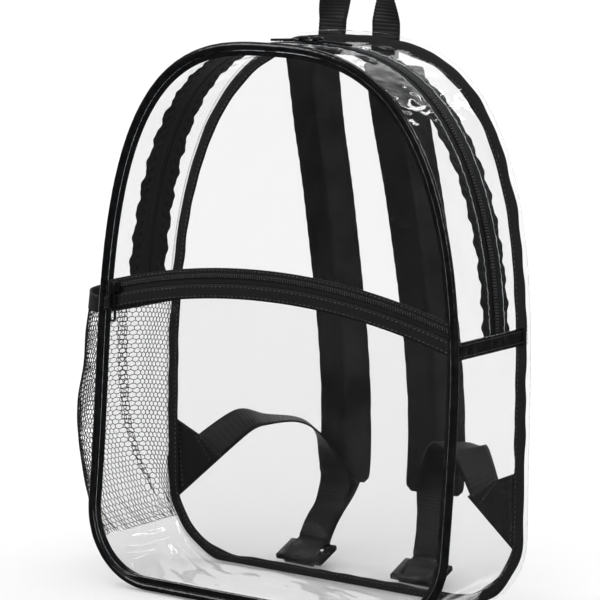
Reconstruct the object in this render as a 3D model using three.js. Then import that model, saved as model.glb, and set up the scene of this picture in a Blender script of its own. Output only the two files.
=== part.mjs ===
// A clear arch-topped backpack with black trim: front zip pocket, side net pocket and two padded straps.
// Millimetres. The front faces -Y, +X is the right of the front view, +Z is up, and the base rests on the ground.
import * as THREE from 'three';

// Bag form
const bagHeight = 430;
const halfWidth = 162.7;
const cornerRadius = 60;
const archStart = 133;
const archPower = 2.8;
const waistDepth = 100.6;
const frontBow = 12.9;
const backBow = 8.5;

// Clear sheet, tapes, and how near the pieces lie to each other
const sheetThickness = 1;
const tapeThickness = 1;
const bandThickness = 1.2;
const pieceGap = 0.3;

// Front and back seams
const pipingRadius = 3.2;
const pipingSides = 8;
const frontBindingWidth = 4;
const backBindingWidth = 9;
const backRim = 3;

// Main zip on the gusset
const zipWindow = 22;
const zipTapeWidth = 30;
const zipTeethWidth = 4.4;
const zipTeethHeight = 2.6;
const zipWaveHeight = 1.8;
const zipWaveLength = 36;

// Distance of the zip behind the front seam, and reach of its binding from the zip, where it ends at each side
// band and at the top of the bag
const zipPlaces = {
  left: { behind: 55, reach: 24 },
  top: { behind: 56, reach: 20 },
  right: { behind: 63, reach: 18.5 },
};

// Bands across the sides
const bandBottom = 214;
const bandHeight = 14;

// Front pocket
const pocketCrown = 259.5;
const pocketRise = 22;
const pocketTapeWidth = 4;
const pocketTeethWidth = 3.2;
const pocketTeethHeight = 2.4;
const pocketBindingWidth = 11.5;
const pocketOverlap = 10;
const pocketBulge = 9;

// Net pocket on the left side
const netBottom = 31;
const netBulge = 45;
const netMouthBulge = 38;
const netThickness = 1;
const netStrand = 2.6;
const netColumns = 8;
const netFoldDepth = 7;

// Handle
const handleWidth = 25;
const handleThickness = 1.8;
const handleHeight = 72;
const handleSpacing = 50;
const handleRoot = 12;
const handleLean = 6;

// Shoulder straps
const strapSpacing = 84;
const padWidth = 50;
const padThickness = 8;
const padTop = 414;
const padBottom = 62;
const padHang = 74;
const padTopHang = 4.9;
const webbingWidth = 28;
const webbingThickness = 1.6;

// Ladder locks
const lockWidth = 44;
const lockLength = 26;
const lockThickness = 4.5;
const lockBar = 4;
const lockTilt = 40;
const lockHang = 43;
const lockOutward = 13;
const lockClearance = 0.4;

// Corner tabs and the adjusting webbing
const tabLow = 45;
const tabHigh = 110;
const tabEndHeight = 92;
const tabReach = 35;
const tabSlope = 34;
const tabThickness = 2;
const webbingRise = 24;

// Zip hardware
const sliderLength = 12;
const sliderWidth = 8;
const sliderHeight = 5;
const pullLength = 24;
const pullWidth = 6.5;
const pullThickness = 1.8;

// Side view of a padded strap, as shares of its drop and of its hang behind the back panel
const padLine = [
  { drop: 0, hang: 0 },
  { drop: 0.15, hang: 0.23 },
  { drop: 0.33, hang: 0.54 },
  { drop: 0.64, hang: 0.93 },
  { drop: 0.84, hang: 1.04 },
  { drop: 1, hang: 1 },
];

// Cross-section of a padded strap, as shares of half its width and half its thickness
const padSection = [
  { across: -1, thick: 0.3 },
  { across: -0.72, thick: 0.95 },
  { across: 0, thick: 1 },
  { across: 0.72, thick: 0.95 },
  { across: 1, thick: 0.3 },
];

// Webbing from the pad to the ladder lock, as shares of the way down, forward and outward
const lockStrapLine = [
  { down: 0, forward: 0, outward: 0 },
  { down: 0.26, forward: 0.2, outward: 0.3 },
  { down: 0.52, forward: 0.52, outward: 0.68 },
  { down: 0.78, forward: 0.83, outward: 0.9 },
  { down: 1, forward: 1, outward: 1 },
];

// Adjusting webbing from the corner tab to the pad's lower end: shares of the way inward, back and up,
// and the yaw and pitch of its width in degrees
const sideWebbingLine = [
  { inward: 0, back: 0, up: 0, yaw: 0, pitch: -34 },
  { inward: 0.27, back: 0.28, up: 0.95, yaw: -22, pitch: -26 },
  { inward: 0.45, back: 0.48, up: 1, yaw: -45, pitch: -5 },
  { inward: 0.7, back: 0.72, up: 0.98, yaw: -57, pitch: 5 },
  { inward: 0.85, back: 0.88, up: 0.52, yaw: -48, pitch: 8 },
  { inward: 0.95, back: 0.97, up: -0.4, yaw: -18, pitch: 3 },
  { inward: 1, back: 1, up: -1.05, yaw: 0, pitch: 0 },
];

// Soft ridges of the slack base: place across and along it, size and height
const baseFolds = [
  { across: -0.66, along: 0.26, size: 24, height: 2.2 },
  { across: 0.3, along: 0.22, size: 28, height: 1.4 },
  { across: 0.62, along: 0.6, size: 24, height: 2 },
];

// Colours and finishes
const clearVinyl = new THREE.MeshStandardMaterial({
  color: 0xe8eef0, roughness: 0.08, metalness: 0, transparent: true, opacity: 0.3,
});
const glossyVinyl = new THREE.MeshStandardMaterial({ color: 0x111112, roughness: 0.25, metalness: 0 });
const blackWeave = new THREE.MeshStandardMaterial({ color: 0x17171a, roughness: 0.85, metalness: 0 });
const paddedCloth = new THREE.MeshStandardMaterial({ color: 0x1a1a1b, roughness: 0.9, metalness: 0 });
const blackNet = new THREE.MeshStandardMaterial({ color: 0x1d1d1f, roughness: 0.8, metalness: 0 });
const zipNylon = new THREE.MeshStandardMaterial({ color: 0x141414, roughness: 0.5, metalness: 0 });
const blackMetal = new THREE.MeshStandardMaterial({ color: 0x1b1b1b, roughness: 0.35, metalness: 0.6 });
const blackPlastic = new THREE.MeshStandardMaterial({ color: 0x161616, roughness: 0.3, metalness: 0 });

const bag = new THREE.Group();

function addPiece(name, geometry, material) {
  const mesh = new THREE.Mesh(geometry, material);
  mesh.name = name;
  bag.add(mesh);
}

// Small helpers

function mix(from, to, share) {
  return from + (to - from) * share;
}

function smooth(share) {
  return THREE.MathUtils.smoothstep(share, 0, 1);
}

function level(value) {
  return () => value;
}

function steps(count, make) {
  return Array.from({ length: count + 1 }, (_, index) => make(index / count));
}

// Outline of the seams in the XZ plane, from the middle of the base up the right side, over the top and back
class SeamOutline extends THREE.Curve {
  getPoint(share, target = new THREE.Vector3()) {
    const side = share <= 0.5 ? 1 : -1;
    const way = share <= 0.5 ? share * 2 : 2 - share * 2;
    const flat = halfWidth - cornerRadius;
    if (way < 0.15) return target.set((side * flat * way) / 0.15, 0, 0);
    if (way < 0.35) {
      const turn = ((way - 0.15) / 0.2) * (Math.PI / 2);
      return target.set(side * (flat + cornerRadius * Math.sin(turn)), 0, cornerRadius * (1 - Math.cos(turn)));
    }
    if (way < 0.45) return target.set(side * halfWidth, 0, mix(cornerRadius, archStart, (way - 0.35) / 0.1));
    const turn = ((way - 0.45) / 0.55) * (Math.PI / 2);
    const across = Math.max(Math.cos(turn), 0) ** (2 / archPower);
    const up = Math.sin(turn) ** (2 / archPower);
    return target.set(side * halfWidth * across, 0, archStart + (bagHeight - archStart) * up);
  }
}

const outline = new SeamOutline();
outline.arcLengthDivisions = 2400;
const outlineLength = outline.getLength();

// Stops that every piece on the seams shares, so that the pieces keep their gaps
const stopCount = 72;
const stops = Array.from({ length: stopCount }, (_, index) => index / stopCount);

function onOutline(share) {
  return outline.getPointAt(THREE.MathUtils.euclideanModulo(share, 1));
}

function outwardAt(share) {
  const along = onOutline(share + 0.001).sub(onOutline(share - 0.001)).normalize();
  return new THREE.Vector3(along.z, 0, -along.x);
}

function offsetPoint(share, offset) {
  return onOutline(share).addScaledVector(outwardAt(share), offset);
}

// The share of the way round at which the right side, moved outwards by an offset, reaches a height
function shareAtHeight(height, offset = 0) {
  let low = 0;
  let high = 0.5;
  for (let round = 0; round < 40; round += 1) {
    const middle = (low + high) / 2;
    if (offsetPoint(middle, offset).z < height) low = middle;
    else high = middle;
  }
  return (low + high) / 2;
}

function halfWidthAt(height, offset = 0) {
  return offsetPoint(shareAtHeight(height, offset), offset).x;
}

// The seams lean away from the waist towards the top and the base
function bowAt(height) {
  return ((height - bagHeight / 2) / (bagHeight / 2)) ** 2;
}

function frontAt(height) {
  return -(waistDepth / 2 + frontBow * bowAt(height));
}

function backAt(height) {
  return waistDepth / 2 + backBow * bowAt(height);
}

const groundLevel = -pipingRadius;
const seamClearance = pipingRadius + pieceGap;
const sheetFace = sheetThickness / 2;

// Joins rings of points into one closed body: a closed loop, or a row with strips of faces across its two ends
function loft(rings, looped = false) {
  const perRing = rings[0].length;
  const positions = rings.flat().flatMap((point) => point.toArray());
  const faces = [];
  const addQuad = (a, b, c, d) => faces.push(a, b, c, a, c, d);
  const spans = looped ? rings.length : rings.length - 1;
  for (let ring = 0; ring < spans; ring += 1) {
    const near = ring * perRing;
    const far = ((ring + 1) % rings.length) * perRing;
    for (let corner = 0; corner < perRing; corner += 1) {
      const next = (corner + 1) % perRing;
      addQuad(near + corner, far + corner, far + next, near + next);
    }
  }
  if (!looped) {
    const last = (rings.length - 1) * perRing;
    for (let corner = 0; corner < perRing / 2 - 1; corner += 1) {
      const across = perRing - 1 - corner;
      addQuad(corner, corner + 1, across - 1, across);
      addQuad(last + across, last + across - 1, last + corner + 1, last + corner);
    }
  }
  return facingOut(positions, faces);
}

// A geometry from positions and faces, turned round if its volume comes out negative
function facingOut(positions, faces) {
  const corner = (index) => new THREE.Vector3().fromArray(positions, index * 3);
  let volume = 0;
  for (let face = 0; face < faces.length; face += 3) {
    volume += corner(faces[face]).dot(corner(faces[face + 1]).cross(corner(faces[face + 2])));
  }
  const geometry = new THREE.BufferGeometry();
  geometry.setAttribute('position', new THREE.Float32BufferAttribute(positions, 3));
  geometry.setIndex(volume < 0 ? faces.reverse() : faces);
  geometry.computeVertexNormals();
  return geometry;
}

// A ring for a thin sheet: a row of points on one face and the same row back along the other
function sheetRing(columns, oneFace, otherFace) {
  return [...steps(columns, oneFace), ...steps(columns, otherFace).reverse()];
}

// A ring round a flat strip, from its centre, its width and its thickness
function strapRing(centre, widthWay, width, thickWay, thickness) {
  return [[-1, -1], [1, -1], [1, 1], [-1, 1]].map(([across, up]) => (
    centre.clone().addScaledVector(widthWay, (across * width) / 2).addScaledVector(thickWay, (up * thickness) / 2)
  ));
}

// Panels and the bands of their seams

// Rows of a panel at the shared stops, each with its height and half width
function panelRows(lowest, offset) {
  const first = shareAtHeight(lowest + 0.05, offset);
  const rows = stops.filter((share) => share > first && share < 0.5).map((share) => {
    const edge = offsetPoint(share, offset);
    return { height: edge.z, half: edge.x };
  });
  return [{ height: lowest, half: halfWidthAt(lowest, offset) }, ...rows];
}

function panelGeometry(rows, surface) {
  return loft(rows.map(({ height, half }) => sheetRing(
    1,
    (across) => new THREE.Vector3(mix(-half, half, across), surface(height) - sheetFace, height),
    (across) => new THREE.Vector3(mix(-half, half, across), surface(height) + sheetFace, height),
  )));
}

// A band that follows a whole seam in the plane of its panel, never lower than the ground
function seamBand(surface, inner, outer, front, back) {
  const rings = stops.map((share) => {
    const drop = Math.max(-outwardAt(share).z, 1e-6);
    const lowest = (onOutline(share).z - groundLevel) / drop;
    return [[inner, front], [outer, front], [outer, back], [inner, back]].map(([offset, shift]) => {
      const point = offsetPoint(share, Math.min(offset, lowest));
      point.y = surface(point.z) + shift;
      return point;
    });
  });
  return loft(rings, true);
}

function addFrontPanel() {
  const rows = panelRows(seamClearance, -seamClearance);
  addPiece('front_panel', panelGeometry(rows, frontAt), clearVinyl);
}

function addFrontSeam() {
  const cornerReach = pipingRadius / Math.cos(Math.PI / pipingSides);
  const rings = stops.map((share) => Array.from({ length: pipingSides }, (_, corner) => {
    const turn = ((corner + 0.5) / pipingSides) * Math.PI * 2;
    const point = offsetPoint(share, cornerReach * Math.cos(turn));
    point.y = frontAt(onOutline(share).z) + cornerReach * Math.sin(turn);
    return point;
  }));
  addPiece('front_piping', loft(rings, true), glossyVinyl);
  const inside = sheetFace + pieceGap;
  const inner = -(seamClearance + frontBindingWidth);
  const binding = seamBand(frontAt, inner, -seamClearance, inside, inside + tapeThickness);
  addPiece('front_binding', binding, blackWeave);
}

function addBackPanel() {
  const rows = panelRows(groundLevel, backBindingWidth / 2 + backRim);
  addPiece('back_panel', panelGeometry(rows, backAt), clearVinyl);
  const inside = -(sheetFace + pieceGap);
  const half = backBindingWidth / 2;
  addPiece('back_binding', seamBand(backAt, -half, half, inside - bandThickness, inside), blackWeave);
}

// Gusset, with the main zip

const bandShare = {
  low: shareAtHeight(bandBottom),
  middle: shareAtHeight(bandBottom + bandHeight / 2),
  high: shareAtHeight(bandBottom + bandHeight),
};
const tapeFace = -(sheetFace + pieceGap);
const tapeBack = tapeFace - tapeThickness;
const teethFace = tapeBack + zipTeethHeight;

// A point of the gusset: share round the outline, distance behind the front seam, height above the sheet
function gussetPoint(share, behind, above) {
  const point = offsetPoint(share, above);
  point.y = frontAt(onOutline(share).z) + behind;
  return point;
}

function behindPiping() {
  return seamClearance;
}

function beforeBinding(share) {
  const height = onOutline(share).z;
  return backAt(height) - frontAt(height) - sheetFace - bandThickness - 2 * pieceGap;
}

function sharesBetween(from, to) {
  const between = [-1, 0].flatMap((turn) => stops.map((share) => share + turn));
  return [from, ...between.filter((share) => share > from + 0.002 && share < to - 0.002), to];
}

// A strip that runs round the gusset from one share of the outline to another
function gussetStrip({ from, to, columns = 1, start, end, low, high }) {
  const rings = sharesBetween(from, to).map((share) => {
    const place = (face) => (across) => {
      const behind = mix(start(share), end(share), across);
      return gussetPoint(share, behind, face(share, across));
    };
    return sheetRing(columns, place(high), place(low));
  });
  return loft(rings);
}

// The base sags to the ground between its seams, with soft ridges
function baseSag(share, across) {
  const point = onOutline(share);
  const flat = 1 - smooth(point.z / (cornerRadius / 3));
  const ridges = baseFolds.map(({ across: place, along, size, height }) => {
    const aside = point.x - place * halfWidth;
    const ahead = (across - along) * waistDepth;
    return height * Math.exp(-(aside * aside + ahead * ahead) / (size * size));
  });
  const raised = Math.max(...ridges);
  return flat * (pipingRadius - sheetFace) - (raised > 0.3 ? raised : 0);
}

// A value of the zip's place that passes smoothly from a side band to the top of the bag
function zipPlace(share, key) {
  const side = zipPlaces[share < 0.5 ? 'right' : 'left'];
  const climbed = (0.5 - Math.abs(share - 0.5) - bandShare.low) / (0.5 - bandShare.low);
  return mix(side[key], zipPlaces.top[key], smooth(climbed));
}

function zipMiddle(share) {
  return zipPlace(share, 'behind');
}

function zipBindingReach(share, phase) {
  const wave = Math.sin((share * outlineLength * 2 * Math.PI) / zipWaveLength + phase);
  return zipPlace(share, 'reach') + zipWaveHeight * wave;
}

function addGusset() {
  const seat = pieceGap / outlineLength;
  addPiece('gusset_base', gussetStrip({
    from: -bandShare.middle + seat,
    to: bandShare.middle - seat,
    columns: 5,
    start: behindPiping,
    end: beforeBinding,
    low: (share, across) => baseSag(share, across) - sheetFace,
    high: (share, across) => baseSag(share, across) + sheetFace,
  }), clearVinyl);
  const sheet = {
    from: bandShare.middle,
    to: 1 - bandShare.middle,
    low: level(-sheetFace),
    high: level(sheetFace),
  };
  const frontEdge = (share) => zipMiddle(share) - zipWindow / 2;
  const backEdge = (share) => zipMiddle(share) + zipWindow / 2;
  addPiece('gusset_front', gussetStrip({ ...sheet, start: behindPiping, end: frontEdge }), clearVinyl);
  addPiece('gusset_back', gussetStrip({ ...sheet, start: backEdge, end: beforeBinding }), clearVinyl);
}

function addMainZip() {
  const span = { from: bandShare.middle, to: 1 - bandShare.middle };
  const tape = { ...span, low: level(tapeBack), high: level(tapeFace) };
  const outer = zipTapeWidth / 2;
  const inner = zipTeethWidth / 2 + pieceGap;
  [['front', -1], ['back', 1]].forEach(([name, side]) => {
    addPiece(`zip_tape_${name}`, gussetStrip({
      ...tape,
      start: (share) => zipMiddle(share) + side * outer,
      end: (share) => zipMiddle(share) + side * inner,
    }), zipNylon);
    addPiece(`zip_binding_${name}`, gussetStrip({
      ...tape,
      start: (share) => zipMiddle(share) + side * zipBindingReach(share, side),
      end: (share) => zipMiddle(share) + side * (outer + pieceGap),
    }), blackWeave);
  });
  addPiece('zip_teeth', gussetStrip({
    ...span,
    start: (share) => zipMiddle(share) - zipTeethWidth / 2,
    end: (share) => zipMiddle(share) + zipTeethWidth / 2,
    low: level(tapeBack),
    high: level(teethFace),
  }), zipNylon);
}

// Bands that close the side seams over the ends of the main zip
function addSideBands() {
  const low = teethFace + pieceGap;
  [['right', 1], ['left', -1]].forEach(([name, side]) => {
    const from = side > 0 ? bandShare.low : 1 - bandShare.high;
    const to = side > 0 ? bandShare.high : 1 - bandShare.low;
    const rings = steps(6, (across) => [[from, low], [to, low], [to, low + bandThickness], [from, low + bandThickness]]
      .map(([share, above]) => gussetPoint(share, mix(seamClearance, beforeBinding(share), across), above)));
    addPiece(`side_band_${name}`, loft(rings), blackWeave);
  });
}

// Front pocket

const pocketHalf = halfWidthAt(pocketCrown) - seamClearance;
const pocketTeethTop = pocketTapeWidth + pieceGap;
const pocketLowerTapeTop = pocketTeethTop + pocketTeethWidth + pieceGap;
const pocketBindingTop = pocketLowerTapeTop + pocketTapeWidth + pieceGap;
const pocketBindingEnd = pocketBindingTop + pocketBindingWidth;
const pocketNear = sheetFace + pieceGap;

function pocketArchAt(x) {
  return pocketCrown - pocketRise * (x / pocketHalf) ** 2;
}

// A band that follows the arch of the pocket zip, between two distances below the arch
function archBand(top, bottom, near, far) {
  return loft(steps(20, (way) => {
    const x = mix(-pocketHalf, pocketHalf, way);
    return [[top, near], [top, far], [bottom, far], [bottom, near]].map(([below, forward]) => {
      const height = pocketArchAt(x) - below;
      return new THREE.Vector3(x, frontAt(height) - forward, height);
    });
  }));
}

// How far the pocket panel stands off the front panel
function pocketPuff(x, height, half) {
  const top = pocketArchAt(x) - pocketBindingEnd;
  const up = THREE.MathUtils.clamp((height - seamClearance) / (top - seamClearance), 0, 1);
  return pocketBulge * Math.sin(Math.PI * up) * (1 - (x / half) ** 2);
}

function addFrontPocket() {
  const lowest = seamClearance;
  const puffTop = pocketArchAt(pocketHalf) - pocketBindingEnd;
  const rows = panelRows(lowest, -seamClearance).filter(({ height }) => height < puffTop - 4);
  rows.push({ height: puffTop, half: pocketHalf }, { height: puffTop + pocketOverlap, half: pocketHalf });
  const rings = rows.map(({ height, half }) => {
    const share = Math.min((height - lowest) / (puffTop - lowest), 1);
    const overlap = Math.max(height - puffTop, 0);
    const face = (near) => (across) => {
      const x = mix(-half, half, across);
      const z = mix(lowest, pocketArchAt(x) - pocketBindingEnd, share) + overlap;
      return new THREE.Vector3(x, frontAt(z) - near - pocketPuff(x, z, half), z);
    };
    return sheetRing(10, face(pocketNear + sheetThickness), face(pocketNear));
  });
  addPiece('pocket_panel', loft(rings), clearVinyl);
  const tapeFar = pocketNear + tapeThickness;
  addPiece('pocket_zip_tape_upper', archBand(0, pocketTapeWidth, pocketNear, tapeFar), zipNylon);
  const teethEnd = pocketTeethTop + pocketTeethWidth;
  const teethFar = pocketNear + pocketTeethHeight;
  addPiece('pocket_zip_teeth', archBand(pocketTeethTop, teethEnd, pocketNear, teethFar), zipNylon);
  const tapeEnd = pocketLowerTapeTop + pocketTapeWidth;
  addPiece('pocket_zip_tape_lower', archBand(pocketLowerTapeTop, tapeEnd, pocketNear, tapeFar), zipNylon);
  const bindingNear = pocketNear + sheetThickness + pieceGap;
  const binding = archBand(pocketBindingTop, pocketBindingEnd, bindingNear, bindingNear + bandThickness);
  addPiece('pocket_binding', binding, blackWeave);
}

// Net bottle pocket on the left side

const netShares = sharesBetween(-bandShare.low + pieceGap / outlineLength, -shareAtHeight(netBottom)).reverse();
const netLift = sheetFace + pieceGap;
const netTopLift = teethFace + bandThickness + 2 * pieceGap;

function netRise(share) {
  return THREE.MathUtils.clamp((onOutline(share).z - netBottom) / (bandBottom - netBottom), 0, 1);
}

// Height of the net above the gusset sheet, with its long fold
function netAbove(share, across) {
  const rise = netRise(share);
  const full = mix(netBulge, netMouthBulge, rise) * smooth(Math.min(rise / 0.4, 1));
  const belly = full * Math.sin(Math.PI * across) ** 0.8;
  const fold = netFoldDepth * Math.exp(-(((across - mix(0.62, 0.42, rise)) / 0.09) ** 2));
  return mix(netLift, netTopLift, rise) + Math.max(belly - fold * smooth(Math.min(rise / 0.4, 1)), 0);
}

function netPoint(share, across, thick) {
  return gussetPoint(share, mix(seamClearance, beforeBinding(share), across), netAbove(share, across) + thick);
}

// A grid of square meshes cut through a curved wall: every cell has a frame of strands round its hole
function netGeometry() {
  const positions = [];
  const faces = [];
  const rowCount = netShares.length - 1;
  const addPoint = (point) => positions.push(...point.toArray()) / 3 - 1;
  const addQuad = (a, b, c, d) => faces.push(a, b, c, a, c, d);
  const layers = [netThickness, 0].map((thick) => netShares.map((share) => (
    steps(netColumns, (across) => addPoint(netPoint(share, across, thick)))
  )));
  const pointAt = (index) => new THREE.Vector3().fromArray(positions, index * 3);
  for (let row = 0; row < rowCount; row += 1) {
    for (let column = 0; column < netColumns; column += 1) {
      const [upper, lower] = layers.map((layer) => {
        const corners = [
          layer[row][column], layer[row][column + 1], layer[row + 1][column + 1], layer[row + 1][column],
        ];
        const middle = corners.reduce((sum, index) => sum.add(pointAt(index)), new THREE.Vector3()).divideScalar(4);
        const hole = corners.map((index) => {
          const reach = pointAt(index).distanceTo(middle);
          return addPoint(pointAt(index).lerp(middle, netStrand / Math.SQRT2 / reach));
        });
        return { corners, hole };
      });
      for (let side = 0; side < 4; side += 1) {
        const next = (side + 1) % 4;
        addQuad(upper.corners[side], upper.corners[next], upper.hole[next], upper.hole[side]);
        addQuad(lower.corners[next], lower.corners[side], lower.hole[side], lower.hole[next]);
        addQuad(upper.hole[side], upper.hole[next], lower.hole[next], lower.hole[side]);
      }
    }
  }
  const rim = [
    ...steps(netColumns, (across) => [0, Math.round(across * netColumns)]),
    ...steps(rowCount, (way) => [Math.round(way * rowCount), netColumns]).slice(1),
    ...steps(netColumns, (across) => [rowCount, netColumns - Math.round(across * netColumns)]).slice(1),
    ...steps(rowCount, (way) => [rowCount - Math.round(way * rowCount), 0]).slice(1, -1),
  ];
  rim.forEach(([row, column], index) => {
    const [nextRow, nextColumn] = rim[(index + 1) % rim.length];
    addQuad(layers[0][row][column], layers[1][row][column], layers[1][nextRow][nextColumn], layers[0][nextRow][nextColumn]);
  });
  return facingOut(positions, faces);
}

function addNetPocket() {
  addPiece('net_pocket', netGeometry(), blackNet);
  const mouth = -bandShare.low;
  const shares = [mouth, -bandShare.high];
  const rings = steps(14, (across) => [[0, 0], [1, 0], [1, 1], [0, 1]].map(([end, outer]) => {
    const behind = mix(seamClearance, beforeBinding(shares[end]), across);
    return gussetPoint(shares[end], behind, netAbove(mouth, across) + outer * bandThickness);
  }));
  addPiece('net_pocket_band', loft(rings), blackWeave);
}

// Handle: a loop of webbing whose flat side turns to face upwards at its top
const panelTop = bagHeight + backBindingWidth / 2 + backRim;

function addHandle() {
  const root = bagHeight - handleRoot;
  const behind = sheetFace + pieceGap + handleThickness / 2;
  const turnStart = panelTop + 8;
  const loopHeight = bagHeight + handleHeight - turnStart;
  const climbTo = (height) => Math.max(height - turnStart, 0) / loopHeight;
  const place = (way) => {
    const turn = way * Math.PI;
    const across = Math.sign(Math.cos(turn)) * Math.abs(Math.cos(turn)) ** 0.77;
    const z = mix(root, bagHeight + handleHeight, Math.max(Math.sin(turn), 0) ** 0.77);
    const y = backAt(Math.min(z, panelTop)) + behind + handleLean * climbTo(z) ** 2;
    return new THREE.Vector3((-across * handleSpacing) / 2, y, z);
  };
  const rings = steps(28, (way) => {
    const centre = place(way);
    const along = place(Math.min(way + 0.01, 1)).sub(place(Math.max(way - 0.01, 0))).normalize();
    const quarter = (Math.PI / 2) * climbTo(centre.z);
    const twist = way < 0.5 ? quarter : Math.PI - quarter;
    const widthWay = new THREE.Vector3(Math.cos(twist), Math.sin(twist), 0);
    const thickWay = along.clone().cross(widthWay).normalize();
    return strapRing(centre, widthWay, handleWidth, thickWay, handleThickness);
  });
  addPiece('handle', loft(rings), blackWeave);
}

// Shoulder straps. They are worked out for the right side and mirrored for the left.

const strapCentre = strapSpacing / 2;
const padCurve = new THREE.CatmullRomCurve3(padLine.map(({ drop, hang }) => {
  const height = mix(padTop, padBottom, drop);
  return new THREE.Vector3(strapCentre, backAt(height) + mix(padTopHang, padHang, hang), height);
}));

function mirrored(rings, side) {
  const turned = new THREE.Vector3(side, 1, 1);
  return rings.map((ring) => ring.map((point) => point.clone().multiply(turned)));
}

function padRings() {
  return steps(16, (way) => {
    const centre = padCurve.getPoint(way);
    const along = padCurve.getTangent(way);
    const thickWay = new THREE.Vector3(1, 0, 0).cross(along).normalize();
    const place = (thick, across) => centre.clone()
      .add(new THREE.Vector3((across * padWidth) / 2, 0, 0))
      .addScaledVector(thickWay, (thick * padThickness) / 2);
    return [
      ...padSection.map(({ across, thick }) => place(thick, across)),
      ...padSection.map(({ across, thick }) => place(-thick, across)).reverse(),
    ];
  });
}

// Ladder lock: it leans on the ground, its upper bar towards the pad
const lockLean = THREE.MathUtils.degToRad(lockTilt);
const lockWay = new THREE.Vector3(0, Math.cos(lockLean), Math.sin(lockLean));
const lockFace = new THREE.Vector3(0, -Math.sin(lockLean), Math.cos(lockLean));
const lockHalfRise = (lockLength / 2) * Math.sin(lockLean) + (lockThickness / 2) * Math.cos(lockLean);
const lockCentre = new THREE.Vector3(
  strapCentre + lockOutward,
  backAt(0) + lockHang - (lockLength / 2) * Math.cos(lockLean),
  groundLevel + lockClearance + lockHalfRise,
);
const lockStrapStart = padCurve.getPoint(1).addScaledVector(padCurve.getTangent(1), 3 * pieceGap);
const lockStrapEnd = lockCentre.clone().addScaledVector(lockWay, lockLength / 2 + 2 * pieceGap);
const lockStrapCurve = new THREE.CatmullRomCurve3(lockStrapLine.map(({ down, forward, outward }) => (
  new THREE.Vector3(
    mix(lockStrapStart.x, lockStrapEnd.x, outward),
    mix(lockStrapStart.y, lockStrapEnd.y, forward),
    mix(lockStrapStart.z, lockStrapEnd.z, down),
  )
)));

function lockStrapRings() {
  return steps(10, (way) => {
    const widthWay = new THREE.Vector3(1, 0, 0);
    const thickWay = widthWay.clone().cross(lockStrapCurve.getTangent(way)).normalize();
    return strapRing(lockStrapCurve.getPoint(way), widthWay, webbingWidth, thickWay, webbingThickness);
  });
}

function lockGeometry(side) {
  const frame = new THREE.Shape();
  const halfWide = lockWidth / 2;
  const halfLong = lockLength / 2;
  const round = lockBar / 2;
  frame.moveTo(-halfWide + round, -halfLong);
  frame.lineTo(halfWide - round, -halfLong);
  frame.absarc(halfWide - round, -halfLong + round, round, -Math.PI / 2, 0);
  frame.lineTo(halfWide, halfLong - round);
  frame.absarc(halfWide - round, halfLong - round, round, 0, Math.PI / 2);
  frame.lineTo(-halfWide + round, halfLong);
  frame.absarc(-halfWide + round, halfLong - round, round, Math.PI / 2, Math.PI);
  frame.lineTo(-halfWide, -halfLong + round);
  frame.absarc(-halfWide + round, -halfLong + round, round, Math.PI, Math.PI * 1.5);
  const slotHalf = webbingWidth / 2 + 1;
  const slotLength = (lockLength - 3 * lockBar) / 2;
  [-halfLong + lockBar, lockBar / 2].forEach((bottom) => {
    const slot = new THREE.Path();
    slot.moveTo(-slotHalf, bottom);
    slot.lineTo(-slotHalf, bottom + slotLength);
    slot.lineTo(slotHalf, bottom + slotLength);
    slot.lineTo(slotHalf, bottom);
    frame.holes.push(slot);
  });
  const body = new THREE.ExtrudeGeometry(frame, { depth: lockThickness, bevelEnabled: false, curveSegments: 3 });
  body.translate(0, 0, -lockThickness / 2);
  body.rotateX(lockLean);
  return body.translate(side * lockCentre.x, lockCentre.y, lockCentre.z);
}

// Corner tab of the adjusting webbing, with a sloping end as wide as the webbing
const slope = THREE.MathUtils.degToRad(tabSlope);
const tabEnd = new THREE.Vector3(halfWidthAt(tabEndHeight) - tabReach, 0, tabEndHeight);
const tabBehind = sheetFace + pieceGap;

function tabGeometry(side) {
  const reach = (end) => [
    side * (tabEnd.x + end * Math.cos(slope) * (webbingWidth / 2)),
    tabEnd.z + end * Math.sin(slope) * (webbingWidth / 2),
  ];
  const shape = new THREE.Shape();
  shape.moveTo(side * (halfWidthAt(tabLow) - 1), tabLow);
  shape.lineTo(side * (halfWidthAt(tabHigh) - 1), tabHigh);
  shape.lineTo(...reach(1));
  shape.lineTo(...reach(-1));
  const geometry = new THREE.ExtrudeGeometry(shape, { depth: tabThickness, bevelEnabled: false });
  geometry.rotateX(Math.PI / 2);
  geometry.translate(0, tabBehind + tabThickness, 0);
  const position = geometry.attributes.position;
  for (let index = 0; index < position.count; index += 1) {
    position.setY(index, position.getY(index) + backAt(position.getZ(index)));
  }
  geometry.computeVertexNormals();
  return geometry;
}

// Adjusting webbing: from the tab it rises in a slack arc, then runs down in front of the pad to the lock
const webbingStart = new THREE.Vector3(
  tabEnd.x - Math.sin(slope) * 2 * pieceGap,
  backAt(tabEndHeight) + tabBehind + tabThickness + pieceGap,
  tabEnd.z + Math.cos(slope) * 2 * pieceGap,
);
const webbingFront = new THREE.Vector3(
  strapCentre + lockOutward / 3,
  backAt(padBottom) + padHang - padThickness - webbingThickness,
  webbingStart.z,
);

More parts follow.
